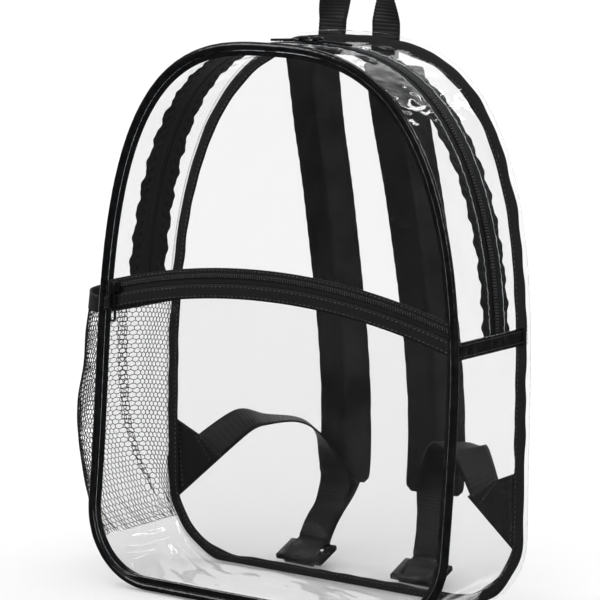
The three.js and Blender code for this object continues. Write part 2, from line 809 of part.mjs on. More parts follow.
function sideWebbingRings() {
  const places = sideWebbingLine.map(({ inward, back, up }) => new THREE.Vector3(
    mix(webbingStart.x, webbingFront.x, inward),
    mix(webbingStart.y, webbingFront.y, back),
    webbingStart.z + webbingRise * up,
  ));
  const widths = sideWebbingLine.map(({ yaw, pitch }) => {
    const [turn, tip] = [yaw, pitch].map(THREE.MathUtils.degToRad);
    return new THREE.Vector3(-Math.cos(tip) * Math.cos(turn), Math.cos(tip) * Math.sin(turn), Math.sin(tip));
  });
  const straight = new THREE.Vector3(-1, 0, 0);
  const standOff = webbingThickness + 3 * pieceGap;
  [0.4, 0.62, 0.84].forEach((way) => {
    const thickWay = new THREE.Vector3(1, 0, 0).cross(lockStrapCurve.getTangent(way)).normalize();
    const forward = thickWay.y > 0 ? -1 : 1;
    places.push(lockStrapCurve.getPoint(way).addScaledVector(thickWay, forward * (standOff + 1)));
    widths.push(straight);
  });
  const onLock = lockThickness / 2 + webbingThickness / 2 + pieceGap;
  [lockLength / 2, 0].forEach((up) => {
    places.push(lockCentre.clone().addScaledVector(lockWay, up).addScaledVector(lockFace, onLock + 0.6));
    widths.push(straight);
  });
  const curve = new THREE.CatmullRomCurve3(places);
  const widthCurve = new THREE.CatmullRomCurve3(widths);
  return steps(28, (way) => {
    const widthWay = widthCurve.getPoint(way).normalize();
    const thickWay = curve.getTangent(way).cross(widthWay).normalize();
    return strapRing(curve.getPoint(way), widthWay, webbingWidth, thickWay, webbingThickness);
  });
}

function addStraps() {
  [['right', 1], ['left', -1]].forEach(([name, side]) => {
    addPiece(`strap_pad_${name}`, loft(mirrored(padRings(), side)), paddedCloth);
    addPiece(`lock_strap_${name}`, loft(mirrored(lockStrapRings(), side)), blackWeave);
    addPiece(`ladder_lock_${name}`, lockGeometry(side), blackPlastic);
    addPiece(`strap_tab_${name}`, tabGeometry(side), blackWeave);
    addPiece(`side_webbing_${name}`, loft(mirrored(sideWebbingRings(), side)), blackWeave);
  });
}

// Zip sliders and pulls

// Side view of a slider: a plate with a bridge over it, cut across the zip
function sliderGeometry() {
  const half = sliderLength / 2;
  const plate = sliderHeight * 0.36;
  const bridge = new THREE.Shape();
  bridge.moveTo(-half, 0);
  bridge.lineTo(half, 0);
  bridge.lineTo(half, plate);
  bridge.absarc(0, plate, sliderHeight - plate, 0, Math.PI);
  bridge.lineTo(-half, plate);
  const hole = new THREE.Path();
  hole.absarc(0, plate + 0.4, (sliderHeight - plate) * 0.45, 0, Math.PI, true);
  bridge.holes.push(hole);
  const body = new THREE.ExtrudeGeometry(bridge, { depth: sliderWidth, bevelEnabled: false, curveSegments: 4 });
  return body.translate(0, 0, -sliderWidth / 2).rotateX(Math.PI / 2);
}

// A long flat pull with round ends and a slot through it
function pullGeometry() {
  const end = pullWidth / 2;
  const long = pullLength / 2 - end;
  const shape = new THREE.Shape();
  shape.absarc(long, 0, end, -Math.PI / 2, Math.PI / 2);
  shape.absarc(-long, 0, end, Math.PI / 2, Math.PI * 1.5);
  const slot = new THREE.Path();
  slot.absarc(long, 0, end * 0.5, -Math.PI / 2, Math.PI / 2);
  slot.absarc(-long, 0, end * 0.5, Math.PI / 2, Math.PI * 1.5);
  shape.holes.push(slot);
  const options = { depth: pullThickness, bevelEnabled: false, curveSegments: 4 };
  return new THREE.ExtrudeGeometry(shape, options);
}

function addMainSliders() {
  const along = sliderLength / 2 + pieceGap;
  [['left', -1], ['right', 1]].forEach(([name, side]) => {
    const share = 0.5 - (side * along) / outlineLength;
    const seat = gussetPoint(share, zipMiddle(share), teethFace + pieceGap);
    const body = sliderGeometry().translate(seat.x, seat.y, seat.z);
    addPiece(`zip_slider_${name}`, body, blackMetal);
    const pullPlace = 0.5 - (side * (sliderLength + pullLength / 2 + 2 * pieceGap)) / outlineLength;
    const rest = gussetPoint(pullPlace, zipMiddle(pullPlace), teethFace + pieceGap);
    const outward = outwardAt(pullPlace);
    const lean = Math.atan2(outward.x, outward.z);
    const pull = pullGeometry().rotateY(lean).translate(rest.x, rest.y, rest.z + pieceGap);
    addPiece(`zip_pull_${name}`, pull, blackMetal);
  });
}

function addPocketSlider() {
  const x = -pocketHalf + sliderLength / 2;
  const height = pocketArchAt(x) - (pocketTeethTop + pocketTeethWidth / 2);
  const forward = pocketNear + pocketTeethHeight + pieceGap;
  const body = sliderGeometry().rotateX(Math.PI / 2);
  const seat = frontAt(height) - forward;
  addPiece('pocket_slider', body.translate(x, seat, height), blackMetal);
  const pull = pullGeometry().rotateZ(Math.PI / 2).rotateX(Math.PI / 2);
  const drop = height - sliderWidth / 2 - pullLength / 2 - pieceGap;
  addPiece('pocket_pull', pull.translate(x, seat - pieceGap, drop), blackMetal);
}

addFrontPanel();
addFrontSeam();
addFrontPocket();
addPocketSlider();
addGusset();
addMainZip();
addMainSliders();
addSideBands();
addNetPocket();
addBackPanel();
addHandle();
addStraps();

// The origin is the middle of the ground under the whole bag
const extent = new THREE.Box3().setFromObject(bag);
bag.position.set(-(extent.min.x + extent.max.x) / 2, -(extent.min.y + extent.max.y) / 2, -extent.min.z);

export default bag;
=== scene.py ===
# %% [markdown]
# # A clear stadium backpack
# A clear bag is nearly all see-through sheet, so its black trim draws its shape: piping, bindings, zips,
# straps and net. Each piece below is one sewn part of the bag. Sizes are in millimetres, and one helper
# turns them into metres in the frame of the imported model.

import math

import bmesh
import bpy
import numpy as np
from mathutils import Matrix, Vector, noise


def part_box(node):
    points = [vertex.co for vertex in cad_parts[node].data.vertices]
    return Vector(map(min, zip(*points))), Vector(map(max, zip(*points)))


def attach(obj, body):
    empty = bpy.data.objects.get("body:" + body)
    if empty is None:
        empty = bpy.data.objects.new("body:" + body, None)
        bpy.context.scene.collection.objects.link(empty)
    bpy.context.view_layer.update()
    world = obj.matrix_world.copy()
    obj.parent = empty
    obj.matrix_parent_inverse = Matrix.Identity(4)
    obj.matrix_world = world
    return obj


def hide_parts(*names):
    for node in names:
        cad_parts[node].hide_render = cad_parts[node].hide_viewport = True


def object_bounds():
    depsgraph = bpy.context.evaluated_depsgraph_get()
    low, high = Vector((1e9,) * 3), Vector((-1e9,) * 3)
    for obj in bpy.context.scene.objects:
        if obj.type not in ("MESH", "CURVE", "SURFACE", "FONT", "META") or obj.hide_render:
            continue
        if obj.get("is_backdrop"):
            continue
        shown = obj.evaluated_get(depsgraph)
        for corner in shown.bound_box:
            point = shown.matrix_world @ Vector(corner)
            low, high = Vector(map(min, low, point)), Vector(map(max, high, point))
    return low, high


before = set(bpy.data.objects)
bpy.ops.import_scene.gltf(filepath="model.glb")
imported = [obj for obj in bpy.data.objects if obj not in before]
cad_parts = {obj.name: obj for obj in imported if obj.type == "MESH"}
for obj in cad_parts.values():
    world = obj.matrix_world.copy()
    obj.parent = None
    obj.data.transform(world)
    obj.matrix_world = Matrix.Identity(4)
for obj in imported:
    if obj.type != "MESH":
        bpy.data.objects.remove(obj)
cad_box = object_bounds()
MM = 0.001
print("pieces in the packed model:", len(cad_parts))

# %% [markdown]
# ## The bag's own measures
# Everything on the bag follows two seams, one round the front panel and one round the back panel. Their
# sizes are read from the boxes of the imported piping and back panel, so the looks always fit the solids.

# %% Sizes of the two seams
PIPING_RADIUS = 3.2
SHEET = 1.0
CORNER_RADIUS = 60
ARCH_START = 133
ARCH_POWER = 2.8
BACK_RIM = 7.5

piping_low, piping_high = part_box("front_piping")
panel_low, panel_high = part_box("back_panel")
HALF_WIDTH = (piping_high.x - piping_low.x) / MM / 2 - PIPING_RADIUS
HEIGHT = (piping_high.z - piping_low.z) / MM - 2 * PIPING_RADIUS
WAIST = (panel_low.y - piping_high.y) / MM + PIPING_RADIUS + SHEET / 2
FRONT_BOW = (piping_high.y - piping_low.y) / MM - 2 * PIPING_RADIUS
BACK_BOW = ((panel_high.y - panel_low.y) / MM - SHEET) / ((HEIGHT + 2 * BACK_RIM) / HEIGHT) ** 2
ORIGIN = Vector((
    (piping_low.x + piping_high.x) / 2,
    (panel_low.y + piping_high.y) / 2 + (SHEET / 2 - PIPING_RADIUS) * MM / 2,
    piping_low.z + PIPING_RADIUS * MM,
))
GROUND = -PIPING_RADIUS
print("half width", round(HALF_WIDTH, 1), "height", round(HEIGHT, 1), "waist", round(WAIST, 1))


def mix(a, b, share):
    return a + (b - a) * share


def smooth(share):
    share = min(max(share, 0.0), 1.0)
    return share * share * (3 - 2 * share)


def bow(z):
    return ((z - HEIGHT / 2) / (HEIGHT / 2)) ** 2


def front_y(z):
    return -(WAIST / 2 + FRONT_BOW * bow(z))


def back_y(z):
    return WAIST / 2 + BACK_BOW * bow(z)


# %% The seam outline, as a table by share of its length
def seam_outline(steps=1500):
    """The right half from the middle of the base to the crown: base, round corner, side, arch."""
    flat = HALF_WIDTH - CORNER_RADIUS
    turn = np.linspace(0, math.pi / 2, steps)
    corner_x = flat + CORNER_RADIUS * np.sin(turn)
    corner_z = CORNER_RADIUS * (1 - np.cos(turn))
    arch_x = HALF_WIDTH * np.clip(np.cos(turn), 0, 1) ** (2 / ARCH_POWER)
    arch_z = ARCH_START + (HEIGHT - ARCH_START) * np.sin(turn) ** (2 / ARCH_POWER)
    x = np.concatenate([[0], corner_x, arch_x])
    z = np.concatenate([[0], corner_z, arch_z])
    length = np.concatenate([[0], np.cumsum(np.hypot(np.diff(x), np.diff(z)))])
    return x, z, length / length[-1] / 2, 2 * length[-1]


HALF_X, HALF_Z, HALF_SHARE, SEAM_LENGTH = seam_outline()


def on_seam(share):
    """A point of the outline: 0 is the middle of the base, 0.25 the right side, 0.5 the crown."""
    share = share % 1.0
    side = 1 if share <= 0.5 else -1
    half = share if share <= 0.5 else 1 - share
    return side * np.interp(half, HALF_SHARE, HALF_X), np.interp(half, HALF_SHARE, HALF_Z)


def outward(share):
    ahead = on_seam(share + 0.001)
    behind = on_seam(share - 0.001)
    dx, dz = ahead[0] - behind[0], ahead[1] - behind[1]
    long = math.hypot(dx, dz)
    return dz / long, -dx / long


def off_seam(share, offset):
    x, z = on_seam(share)
    out_x, out_z = outward(share)
    return x + out_x * offset, z + out_z * offset


def share_at(height):
    return float(np.interp(height, HALF_Z, HALF_SHARE))


def gusset_point(share, behind, above):
    """A point of the side wall: how far round, how far behind the front seam, how far off the sheet."""
    x, z = off_seam(share, above)
    return Vector((x, front_y(on_seam(share)[1]) + behind, z))


print("seam length in millimetres:", round(SEAM_LENGTH))

# %% [markdown]
# ## Camera
# The photograph looks at the bag from its front right, a little above the middle, through a long lens.
# The camera is set by its distance, two angles, a small roll and the point that it looks at.

# %% Camera
AZIMUTH = 0.578
ELEVATION = 0.1489
ROLL = 0.028
DISTANCE = 2347.96
LENS = 181.8
LOOKS_AT = Vector((-8.18, 0, 230.97))

away = Vector((
    math.sin(AZIMUTH) * math.cos(ELEVATION),
    -math.cos(AZIMUTH) * math.cos(ELEVATION),
    math.sin(ELEVATION),
))
level_right = Vector((math.cos(AZIMUTH), math.sin(AZIMUTH), 0))
level_up = away.cross(level_right)
right = level_right * math.cos(ROLL) + level_up * math.sin(ROLL)
up = level_up * math.cos(ROLL) - level_right * math.sin(ROLL)
camera = bpy.data.objects.new("camera", bpy.data.cameras.new("camera"))
camera.data.lens = LENS
camera.data.clip_end = 20
camera.matrix_world = Matrix.Translation(ORIGIN + (LOOKS_AT + away * DISTANCE) * MM) @ Matrix(
    (right, up, away)
).transposed().to_4x4()
bpy.context.scene.collection.objects.link(camera)
bpy.context.scene.camera = camera
print("camera stands", round(DISTANCE), "mm from the bag")

# %% [markdown]
# ## Helpers for the pieces
# Nearly every piece of a bag starts as a flat cut of sheet, tape or webbing. So one helper makes a grid,
# keeps its flat measures as a UV map in metres, and lays each of its points where the sewn piece has it.


# %% Grid, tube and small-part helpers
def to_frame(point):
    return ORIGIN + point * MM


def new_object(name, bm):
    mesh = bpy.data.meshes.new(name)
    bm.to_mesh(mesh)
    bm.free()
    for polygon in mesh.polygons:
        polygon.use_smooth = True
    piece = bpy.data.objects.new(name, mesh)
    bpy.context.scene.collection.objects.link(piece)
    return piece


def laid_grid(name, size, steps, place, closed=False):
    """A grid of size (across, along) in millimetres, laid by place(u, v). A closed one is a tube."""
    bm = bmesh.new()
    bmesh.ops.create_grid(bm, x_segments=steps[0], y_segments=steps[1], size=0.5)
    uv = bm.loops.layers.uv.new("UVMap")
    for face in bm.faces:
        for loop in face.loops:
            u, v = loop.vert.co.x + 0.5, loop.vert.co.y + 0.5
            loop[uv].uv = (u * size[0] * MM, v * size[1] * MM)
    for vert in bm.verts:
        vert.co = to_frame(place(vert.co.x + 0.5, vert.co.y + 0.5))
    if closed:
        bmesh.ops.remove_doubles(bm, verts=bm.verts, dist=1e-6)
        rims = [edge for edge in bm.edges if edge.is_boundary]
        if rims:
            bmesh.ops.holes_fill(bm, edges=rims, sides=0)
        bmesh.ops.recalc_face_normals(bm, faces=bm.faces)
    return new_object(name, bm)


def thicken(piece, thickness, rim=0):
    """Gives a sheet its thickness. rim counts from the surface's material slot to that of the cut edges."""
    solidify = piece.modifiers.new("thickness", "SOLIDIFY")
    solidify.thickness = thickness * MM
    solidify.offset = 0
    solidify.material_offset_rim = rim


def add_beads(bm, count, place, size):
    """Small round-ended parts in one mesh. place(share) gives each one's centre, its long way and the way
    that it faces; size is along, across and high."""
    for index in range(count):
        centre, along, out = place((index + 0.5) / count)
        along = along.normalized()
        across = out.cross(along).normalized()
        basis = Matrix((along * size[0], across * size[1], along.cross(across) * size[2]))
        matrix = Matrix.Translation(to_frame(centre)) @ (basis.transposed() * (MM / 2)).to_4x4()
        bmesh.ops.create_icosphere(bm, subdivisions=1, radius=1, matrix=matrix)


def beads(name, count, place, size):
    bm = bmesh.new()
    add_beads(bm, count, place, size)
    return new_object(name, bm)


def dress(piece, material, slot, *nodes, edge=None):
    piece.data.materials.append(material)
    if edge:
        piece.data.materials.append(edge)
    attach(piece, "root")
    if nodes:
        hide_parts(*nodes)
    return piece


def dress_clear(piece, cad, edge=None):
    """Clear sheet lets soft light through, so it neither shades the floor nor dims what it covers."""
    piece.visible_diffuse = False
    piece.visible_shadow = False
    return dress(piece, CLEAR_VINYL, "clear_vinyl", cad, edge=edge)


def direction(path, share, step=0.002):
    return path(min(share + step, 1)) - path(max(share - step, 0))


def path_length(path, steps=120):
    spots = [path(index / steps) for index in range(steps + 1)]
    return sum((b - a).length for a, b in zip(spots, spots[1:]))


STITCH = (2.7, 0.8, 0.6)
STITCH_PITCH = 3.9
FORWARD, BACKWARD = Vector((0, -1, 0)), Vector((0, 1, 0))


def sewn(name, rows):
    """Rows of stitches in one mesh. Each row is a path and the way that its cloth faces."""
    bm = bmesh.new()
    for path, out in rows:
        count = max(int(path_length(path) / STITCH_PITCH), 2)
        add_beads(bm, count, lambda way: (path(way), direction(path, way), out(way)), STITCH)
    return dress(new_object(name, bm), THREAD_PAINTED_HIGHLIGHT, "black_webbing")


# %% [markdown]
# ## Materials
# Colours are written as sRGB hex values and turned to linear by one function. One more function adds a
# node with its settings and its links.


# %% Colour and node helpers
def linear(code, alpha=1.0):
    channels = [int(code[i:i + 2], 16) / 255 for i in (1, 3, 5)]
    return [c / 12.92 if c <= 0.04045 else ((c + 0.055) / 1.055) ** 2.4 for c in channels] + [alpha]


def node(tree, kind, inputs=None, **settings):
    made = tree.nodes.new(kind)
    for name, value in settings.items():
        setattr(made, name, value)
    for name, value in (inputs or {}).items():
        if isinstance(value, bpy.types.NodeSocket):
            tree.links.new(value, made.inputs[name])
        else:
            made.inputs[name].default_value = value
    return made


def new_material(name, roughness, ior=1.5, metallic=0.0):
    material = bpy.data.materials.new(name)
    material.use_nodes = True
    shader = material.node_tree.nodes["Principled BSDF"]
    shader.inputs["Roughness"].default_value = roughness
    shader.inputs["IOR"].default_value = ior
    shader.inputs["Metallic"].default_value = metallic
    return material, material.node_tree, shader


def colours(tree, value, low, high, at=(0.35, 0.65)):
    ramp = node(tree, "ShaderNodeValToRGB", {"Fac": value})
    ramp.color_ramp.elements[0].position, ramp.color_ramp.elements[1].position = at
    ramp.color_ramp.elements[0].color = linear(low)
    ramp.color_ramp.elements[1].color = linear(high)
    return ramp.outputs["Color"]


def bump(tree, shader, height, distance, strength=1.0):
    made = node(tree, "ShaderNodeBump", {
        "Height": height, "Distance": distance * MM, "Strength": strength,
    })
    tree.links.new(made.outputs["Normal"], shader.inputs["Normal"])
    return made


# %% [markdown]
# ### Clear vinyl sheet
# Calendered PVC, polished by its rollers. It shows what is behind it, and a mirror-like share of the room
# that grows at grazing angles. So a Transparent shader is mixed with a mirror. Layer Weight gives the share
# alike for both faces of the sheet, where a Fresnel node would turn the inner face into a full mirror.


# %% Clear vinyl
MIRRORED_STRAIGHT, MIRRORED_GRAZING = 0.026, 0.35
GRAZING_POWER = 4.0


def make_clear_vinyl():
    material, tree, shader = new_material("calendered_clear_pvc", 0.06, metallic=1.0)
    shader.inputs["Base Color"].default_value = linear("#FBFBFC")
    where = node(tree, "ShaderNodeTexCoord").outputs["Object"]
    swell = node(tree, "ShaderNodeTexNoise", {"Vector": where, "Scale": 1 / 0.06, "Detail": 2.0})
    made = bump(tree, shader, swell.outputs["Fac"], 1.4)
    facing = node(tree, "ShaderNodeLayerWeight", {"Blend": 0.5, "Normal": made.outputs["Normal"]})
    steep = node(tree, "ShaderNodeMath", {0: facing.outputs["Facing"], 1: GRAZING_POWER}, operation="POWER")
    share = node(tree, "ShaderNodeMath", {
        0: steep.outputs["Value"], 1: MIRRORED_GRAZING, 2: MIRRORED_STRAIGHT,
    }, operation="MULTIPLY_ADD")
    clear = node(tree, "ShaderNodeBsdfTransparent", {"Color": linear("#FDFDFD")})
    mixed = node(tree, "ShaderNodeMixShader", {
        0: share.outputs["Value"],
        1: clear.outputs["BSDF"],
        2: shader.outputs["BSDF"],
    })
    output = tree.nodes["Material Output"]
    tree.links.new(mixed.outputs["Shader"], output.inputs["Surface"])
    return material


def make_cut_edge():
    """A slit edge of the sheet is frosted. Its pale colour is partly that frosting and partly painted light,
    for the light that runs inside the sheet and shows at its edge.
    """
    material, tree, shader = new_material("slit_clear_pvc_edge_frost_and_painted_light", 0.35, ior=1.54)
    where = node(tree, "ShaderNodeTexCoord").outputs["Object"]
    nicks = node(tree, "ShaderNodeTexNoise", {"Vector": where, "Scale": 1 / 0.004, "Detail": 2.0})
    tree.links.new(colours(tree, nicks.outputs["Fac"], "#8E979C", "#E4EAEE"), shader.inputs["Base Color"])
    return material


CLEAR_VINYL = make_clear_vinyl()
CUT_EDGE_FROST_AND_PAINTED_LIGHT = make_cut_edge()
print("clear materials:", CLEAR_VINYL.name, CUT_EDGE_FROST_AND_PAINTED_LIGHT.name)

# %% [markdown]
# ### Black trim
# The piping is extruded glossy PVC. The bindings and straps are woven from black yarn, which is matte with
# a fine rib. The pads are a closer, softer cloth. The zips are nylon, their sliders painted zinc.


# %% Black materials
def make_piping_vinyl():
    material, tree, shader = new_material("extruded_black_pvc", 0.24, ior=1.52)
    where = node(tree, "ShaderNodeTexCoord").outputs["Object"]
    crinkle = node(tree, "ShaderNodeTexNoise", {"Vector": where, "Scale": 1 / 0.006, "Detail": 2.0})
    tint = colours(tree, crinkle.outputs["Fac"], "#080809", "#131315")
    tree.links.new(tint, shader.inputs["Base Color"])
    bump(tree, shader, crinkle.outputs["Fac"], 0.5)
    return material


def make_woven(name, rib, low, high, roughness=0.7, across=False):
    """Woven tape. rib is the spacing of its ribs in millimetres, read along or across its UV map."""
    material, tree, shader = new_material(name, roughness)
    where = node(tree, "ShaderNodeUVMap", uv_map="UVMap").outputs["UV"]
    ribs = node(
        tree, "ShaderNodeTexWave",
        {"Vector": where, "Scale": math.pi / 10 / (rib * MM), "Distortion": 0.4, "Detail": 1.0},
        bands_direction="X" if across else "Y",
    )
    fleck = node(tree, "ShaderNodeTexNoise", {"Vector": where, "Scale": 1 / 0.0012, "Detail": 2.0})
    both = node(
        tree, "ShaderNodeMath", {0: ribs.outputs["Fac"], 1: fleck.outputs["Fac"]}, operation="MULTIPLY"
    ).outputs["Value"]
    tree.links.new(colours(tree, both, low, high, (0.1, 0.7)), shader.inputs["Base Color"])
    bump(tree, shader, both, 0.25)
    return material


def make_cloth(name, thread, low, high, roughness=0.9):
    """Plain close cloth. thread is the spacing of its threads, drawn coarse enough to show."""
    material, tree, shader = new_material(name, roughness)
    where = node(tree, "ShaderNodeTexCoord").outputs["Object"]
    grain = node(tree, "ShaderNodeTexVoronoi", {"Vector": where, "Scale": 1 / (thread * MM)})
    cloud = node(tree, "ShaderNodeTexNoise", {"Vector": where, "Scale": 1 / 0.03, "Detail": 4.0})
    tree.links.new(colours(tree, cloud.outputs["Fac"], low, high), shader.inputs["Base Color"])
    bump(tree, shader, grain.outputs["Distance"], 0.15, 0.6)
    return material


def make_moulded(name, low, high, roughness, metallic=0.0):
    material, tree, shader = new_material(name, roughness, ior=1.49, metallic=metallic)
    where = node(tree, "ShaderNodeTexCoord").outputs["Object"]
    grain = node(tree, "ShaderNodeTexNoise", {"Vector": where, "Scale": 1 / 0.0015, "Detail": 2.0})
    tree.links.new(colours(tree, grain.outputs["Fac"], low, high), shader.inputs["Base Color"])
    bump(tree, shader, grain.outputs["Fac"], 0.05)
    return material


PIPING_VINYL = make_piping_vinyl()
GROSGRAIN = make_woven("polyester_grosgrain", 1.2, "#0A0A0B", "#1C1C1F")
WEBBING = make_woven("polypropylene_webbing", 2.0, "#070709", "#15161A", 0.6)
ZIP_TAPE = make_woven("polyester_zip_tape", 1.0, "#080808", "#171718", across=True)
PAD_CLOTH = make_cloth("polyester_oxford_cloth", 0.9, "#08080A", "#121214")
# A lighter copy of the pad cloth: painted light on the side of each pad that turns toward the lamps.
PAD_CLOTH_PAINTED_LIT = make_cloth("oxford_cloth_painted_lit_side", 1.4, "#121214", "#1F1F22", 0.95)
NET_YARN = make_cloth("polyester_net_yarn", 0.5, "#0B0B0C", "#1A1A1C", 0.6)
# The coil is drawn a lighter grey than its black tape: a painted highlight, for the glints on the teeth.
ZIP_COIL_PAINTED_HIGHLIGHT = make_moulded("nylon_zip_coil_painted_highlight", "#242427", "#424246", 0.3)
# The thread is drawn a lighter grey than the black cloth: a painted highlight, for the glints along the
# stitches.
THREAD_PAINTED_HIGHLIGHT = make_moulded("polyester_thread_painted_highlight", "#26262A", "#56565C", 0.45)
SLIDER_PAINT = make_moulded("painted_zinc", "#0B0B0C", "#161617", 0.28, 0.2)
ACETAL = make_moulded("moulded_acetal", "#080808", "#121213", 0.25)
print("materials:", len(bpy.data.materials))

# %% [markdown]
# ## Clear panels
# The front and back are flat cuts of sheet held in a seam that leans and bows. Rows of the grid end at
# even steps of the seam, so the arch stays smooth. Real sheet is never flat: slow swells and a few
# creases, made by noise, give the reflections something to break on.

# %% Panels
SEAM_CLEARANCE = 3.5
CROWN_GAP = 0.004
SHEET_SHOWN = 0.6


def swell(x, y, z, scale, height, seed=0.0):
    return height * noise.noise(Vector((x / scale, (y + seed * 37) / scale, z / scale)))


def panel_place(low, offset, surface, scale, height, seed):
    first = share_at(low)

    def place(u, v):
        edge, z = off_seam(mix(first, 0.5 - CROWN_GAP, v), offset)
        z = max(z, GROUND)
        x = (2 * u - 1) * edge
        inward = min(1 - abs(2 * u - 1), v, 1 - v) * 6
        return Vector((x, surface(z) + swell(x, 0, z, scale, height, seed) * smooth(inward), z))

    return place


front_panel = laid_grid(
    "front_panel_sheet", (2 * HALF_WIDTH, HEIGHT), (40, 60),
    panel_place(SEAM_CLEARANCE, -SEAM_CLEARANCE, front_y, 70, 2.0, 1),
)
back_panel = laid_grid(
    "back_panel_sheet", (2 * HALF_WIDTH + 2 * BACK_RIM, HEIGHT + 2 * BACK_RIM), (40, 60),
    panel_place(0.3, BACK_RIM, back_y, 80, 1.2, 2),
)
for piece, cad in ((front_panel, "front_panel"), (back_panel, "back_panel")):
    thicken(piece, SHEET_SHOWN, rim=1)
    dress_clear(piece, cad, CUT_EDGE_FROST_AND_PAINTED_LIGHT)
print("panel faces:", len(front_panel.data.polygons), len(back_panel.data.polygons))

# %% [markdown]
# ## Gusset
# One long sheet goes round the sides and under the bag, and two narrower strips go over the top beside
# the zip. The base sags to the ground between its seams, and its slack shows as soft ridges.

# %% Gusset sheets
BAND_LOW, BAND_HIGH = 209, 222
BAND_SHARE = {
    "low": share_at(BAND_LOW),
    "middle": share_at((BAND_LOW + BAND_HIGH) / 2),
    "high": share_at(BAND_HIGH),
}
ZIP_WINDOW = 22
ZIP_PLACES = {
    "left": {"behind": 55, "reach": 24},
    "top": {"behind": 56, "reach": 20},
    "right": {"behind": 63, "reach": 18.5},
}
BACK_SEAM_INSET = 1.5
FRONT_SEAM_INSET = 1.8


def zip_place(share, key):
    side = ZIP_PLACES["right" if share < 0.5 else "left"]
    climbed = (0.5 - abs(share - 0.5) - BAND_SHARE["low"]) / (0.5 - BAND_SHARE["low"])
    return mix(side[key], ZIP_PLACES["top"][key], smooth(climbed))


def zip_middle(share):
    return zip_place(share, "behind")


def back_edge(share):
    z = on_seam(share)[1]
    return back_y(z) - front_y(z) - BACK_SEAM_INSET


def strip(name, first, last, start, end, steps, above=lambda share, across: 0.0):
    """A strip of the gusset between two distances behind the front seam."""

    def place(u, v):
        share = mix(first, last, v)
        return gusset_point(share, mix(start(share), end(share), u), above(share, u))

    middle = (first + last) / 2
    size = (abs(end(middle) - start(middle)), (last - first) * SEAM_LENGTH)
    return laid_grid(name, size, steps, place)


def base_slack(share, across):
    x, z = on_seam(share)
    flat = 1 - smooth(z / (CORNER_RADIUS / 3))
    y = mix(front_y(z), back_y(z), across)
    inside = smooth(min(across, 1 - across) * 5)
    creases = abs(noise.noise(Vector((x / 38 + y / 60, y / 30, 5.0)))) ** 1.3 * 7
    return flat * (PIPING_RADIUS - 1) - inside * smooth(1 - z / 40) * creases


def side_swell(share, across):
    x, z = on_seam(share)
    return swell(x * 0.3, across * 60, z, 34, 1.6, 3) * smooth(min(across, 1 - across) * 6)


def crinkled(share, across):
    """The strips beside the zip are puckered by its two seams."""
    fine = noise.noise(Vector((share * SEAM_LENGTH / 9, across * 3, 11)))
    finer = noise.noise(Vector((share * SEAM_LENGTH / 3.6, across * 3, 17)))
    return 0.4 * side_swell(share, across) + 0.5 * fine + 0.8 * finer * smooth(abs(2 * across - 1))


def under_and_sides(share, across):
    """Creases fan out of the two lower corners, where the flat sheet is forced round a tight curve."""
    x, z = on_seam(share)
    corner = smooth(z / 12) * (1 - smooth((z - 40) / 60))
    fan = noise.noise(Vector((share * SEAM_LENGTH / 7, across * 2.2, 23)))
    held = smooth(min(across, 1 - across) * 8)
    return base_slack(share, across) + side_swell(share, across) + corner * held * 1.5 * fan


gusset_base = strip(
    "gusset_base_sheet", -BAND_SHARE["middle"], BAND_SHARE["middle"],
    lambda share: FRONT_SEAM_INSET, back_edge, (48, 300), under_and_sides,
)
gusset_front = strip(
    "gusset_front_sheet", BAND_SHARE["middle"], 1 - BAND_SHARE["middle"],
    lambda share: FRONT_SEAM_INSET, lambda share: zip_middle(share) - ZIP_WINDOW / 2, (22, 460),
    crinkled,
)
gusset_back = strip(
    "gusset_back_sheet", BAND_SHARE["middle"], 1 - BAND_SHARE["middle"],
    lambda share: zip_middle(share) + ZIP_WINDOW / 2, back_edge, (14, 460), crinkled,
)
for piece, cad in (
    (gusset_base, "gusset_base"), (gusset_front, "gusset_front"), (gusset_back, "gusset_back")
):
    thicken(piece, SHEET_SHOWN, rim=1)
    dress_clear(piece, cad, CUT_EDGE_FROST_AND_PAINTED_LIGHT)

GUSSETS = (gusset_base, gusset_front, gusset_back)
print("gusset faces:", [len(piece.data.polygons) for piece in GUSSETS])

# %% [markdown]
# ## Front and back seams
# The front seam is piped: a cord wrapped in glossy vinyl, whose flange shows inside the panel. The back
# seam is bound flat with grosgrain, and the clear sheet stands out a little past it.

# %% Piping and bindings
FRONT_FLANGE = 4
BINDING_WIDTH = 9
TAPE = 1.0


def seam_band(surface, inner, outer, shift, uneven=0.0):
    def place(u, v):
        wander = uneven * noise.noise(Vector((v * 60, round(u), 2))) * (2 * abs(u - 0.5))
        x, z = off_seam(v, mix(inner, outer, u) + wander)
        z = max(z, GROUND + 0.3)
        return Vector((x, surface(z) + shift, z))

    return place


def piping_place(u, v):
    turn = 2 * math.pi * u
    x, z = on_seam(v)
    out_x, out_z = outward(v)
    wrap = PIPING_RADIUS - 0.12 + 0.12 * noise.noise(Vector((u * 3, v * 260, 0)))
    reach = wrap * math.cos(turn)
    return Vector((x + out_x * reach, front_y(z) + wrap * math.sin(turn), z + out_z * reach))


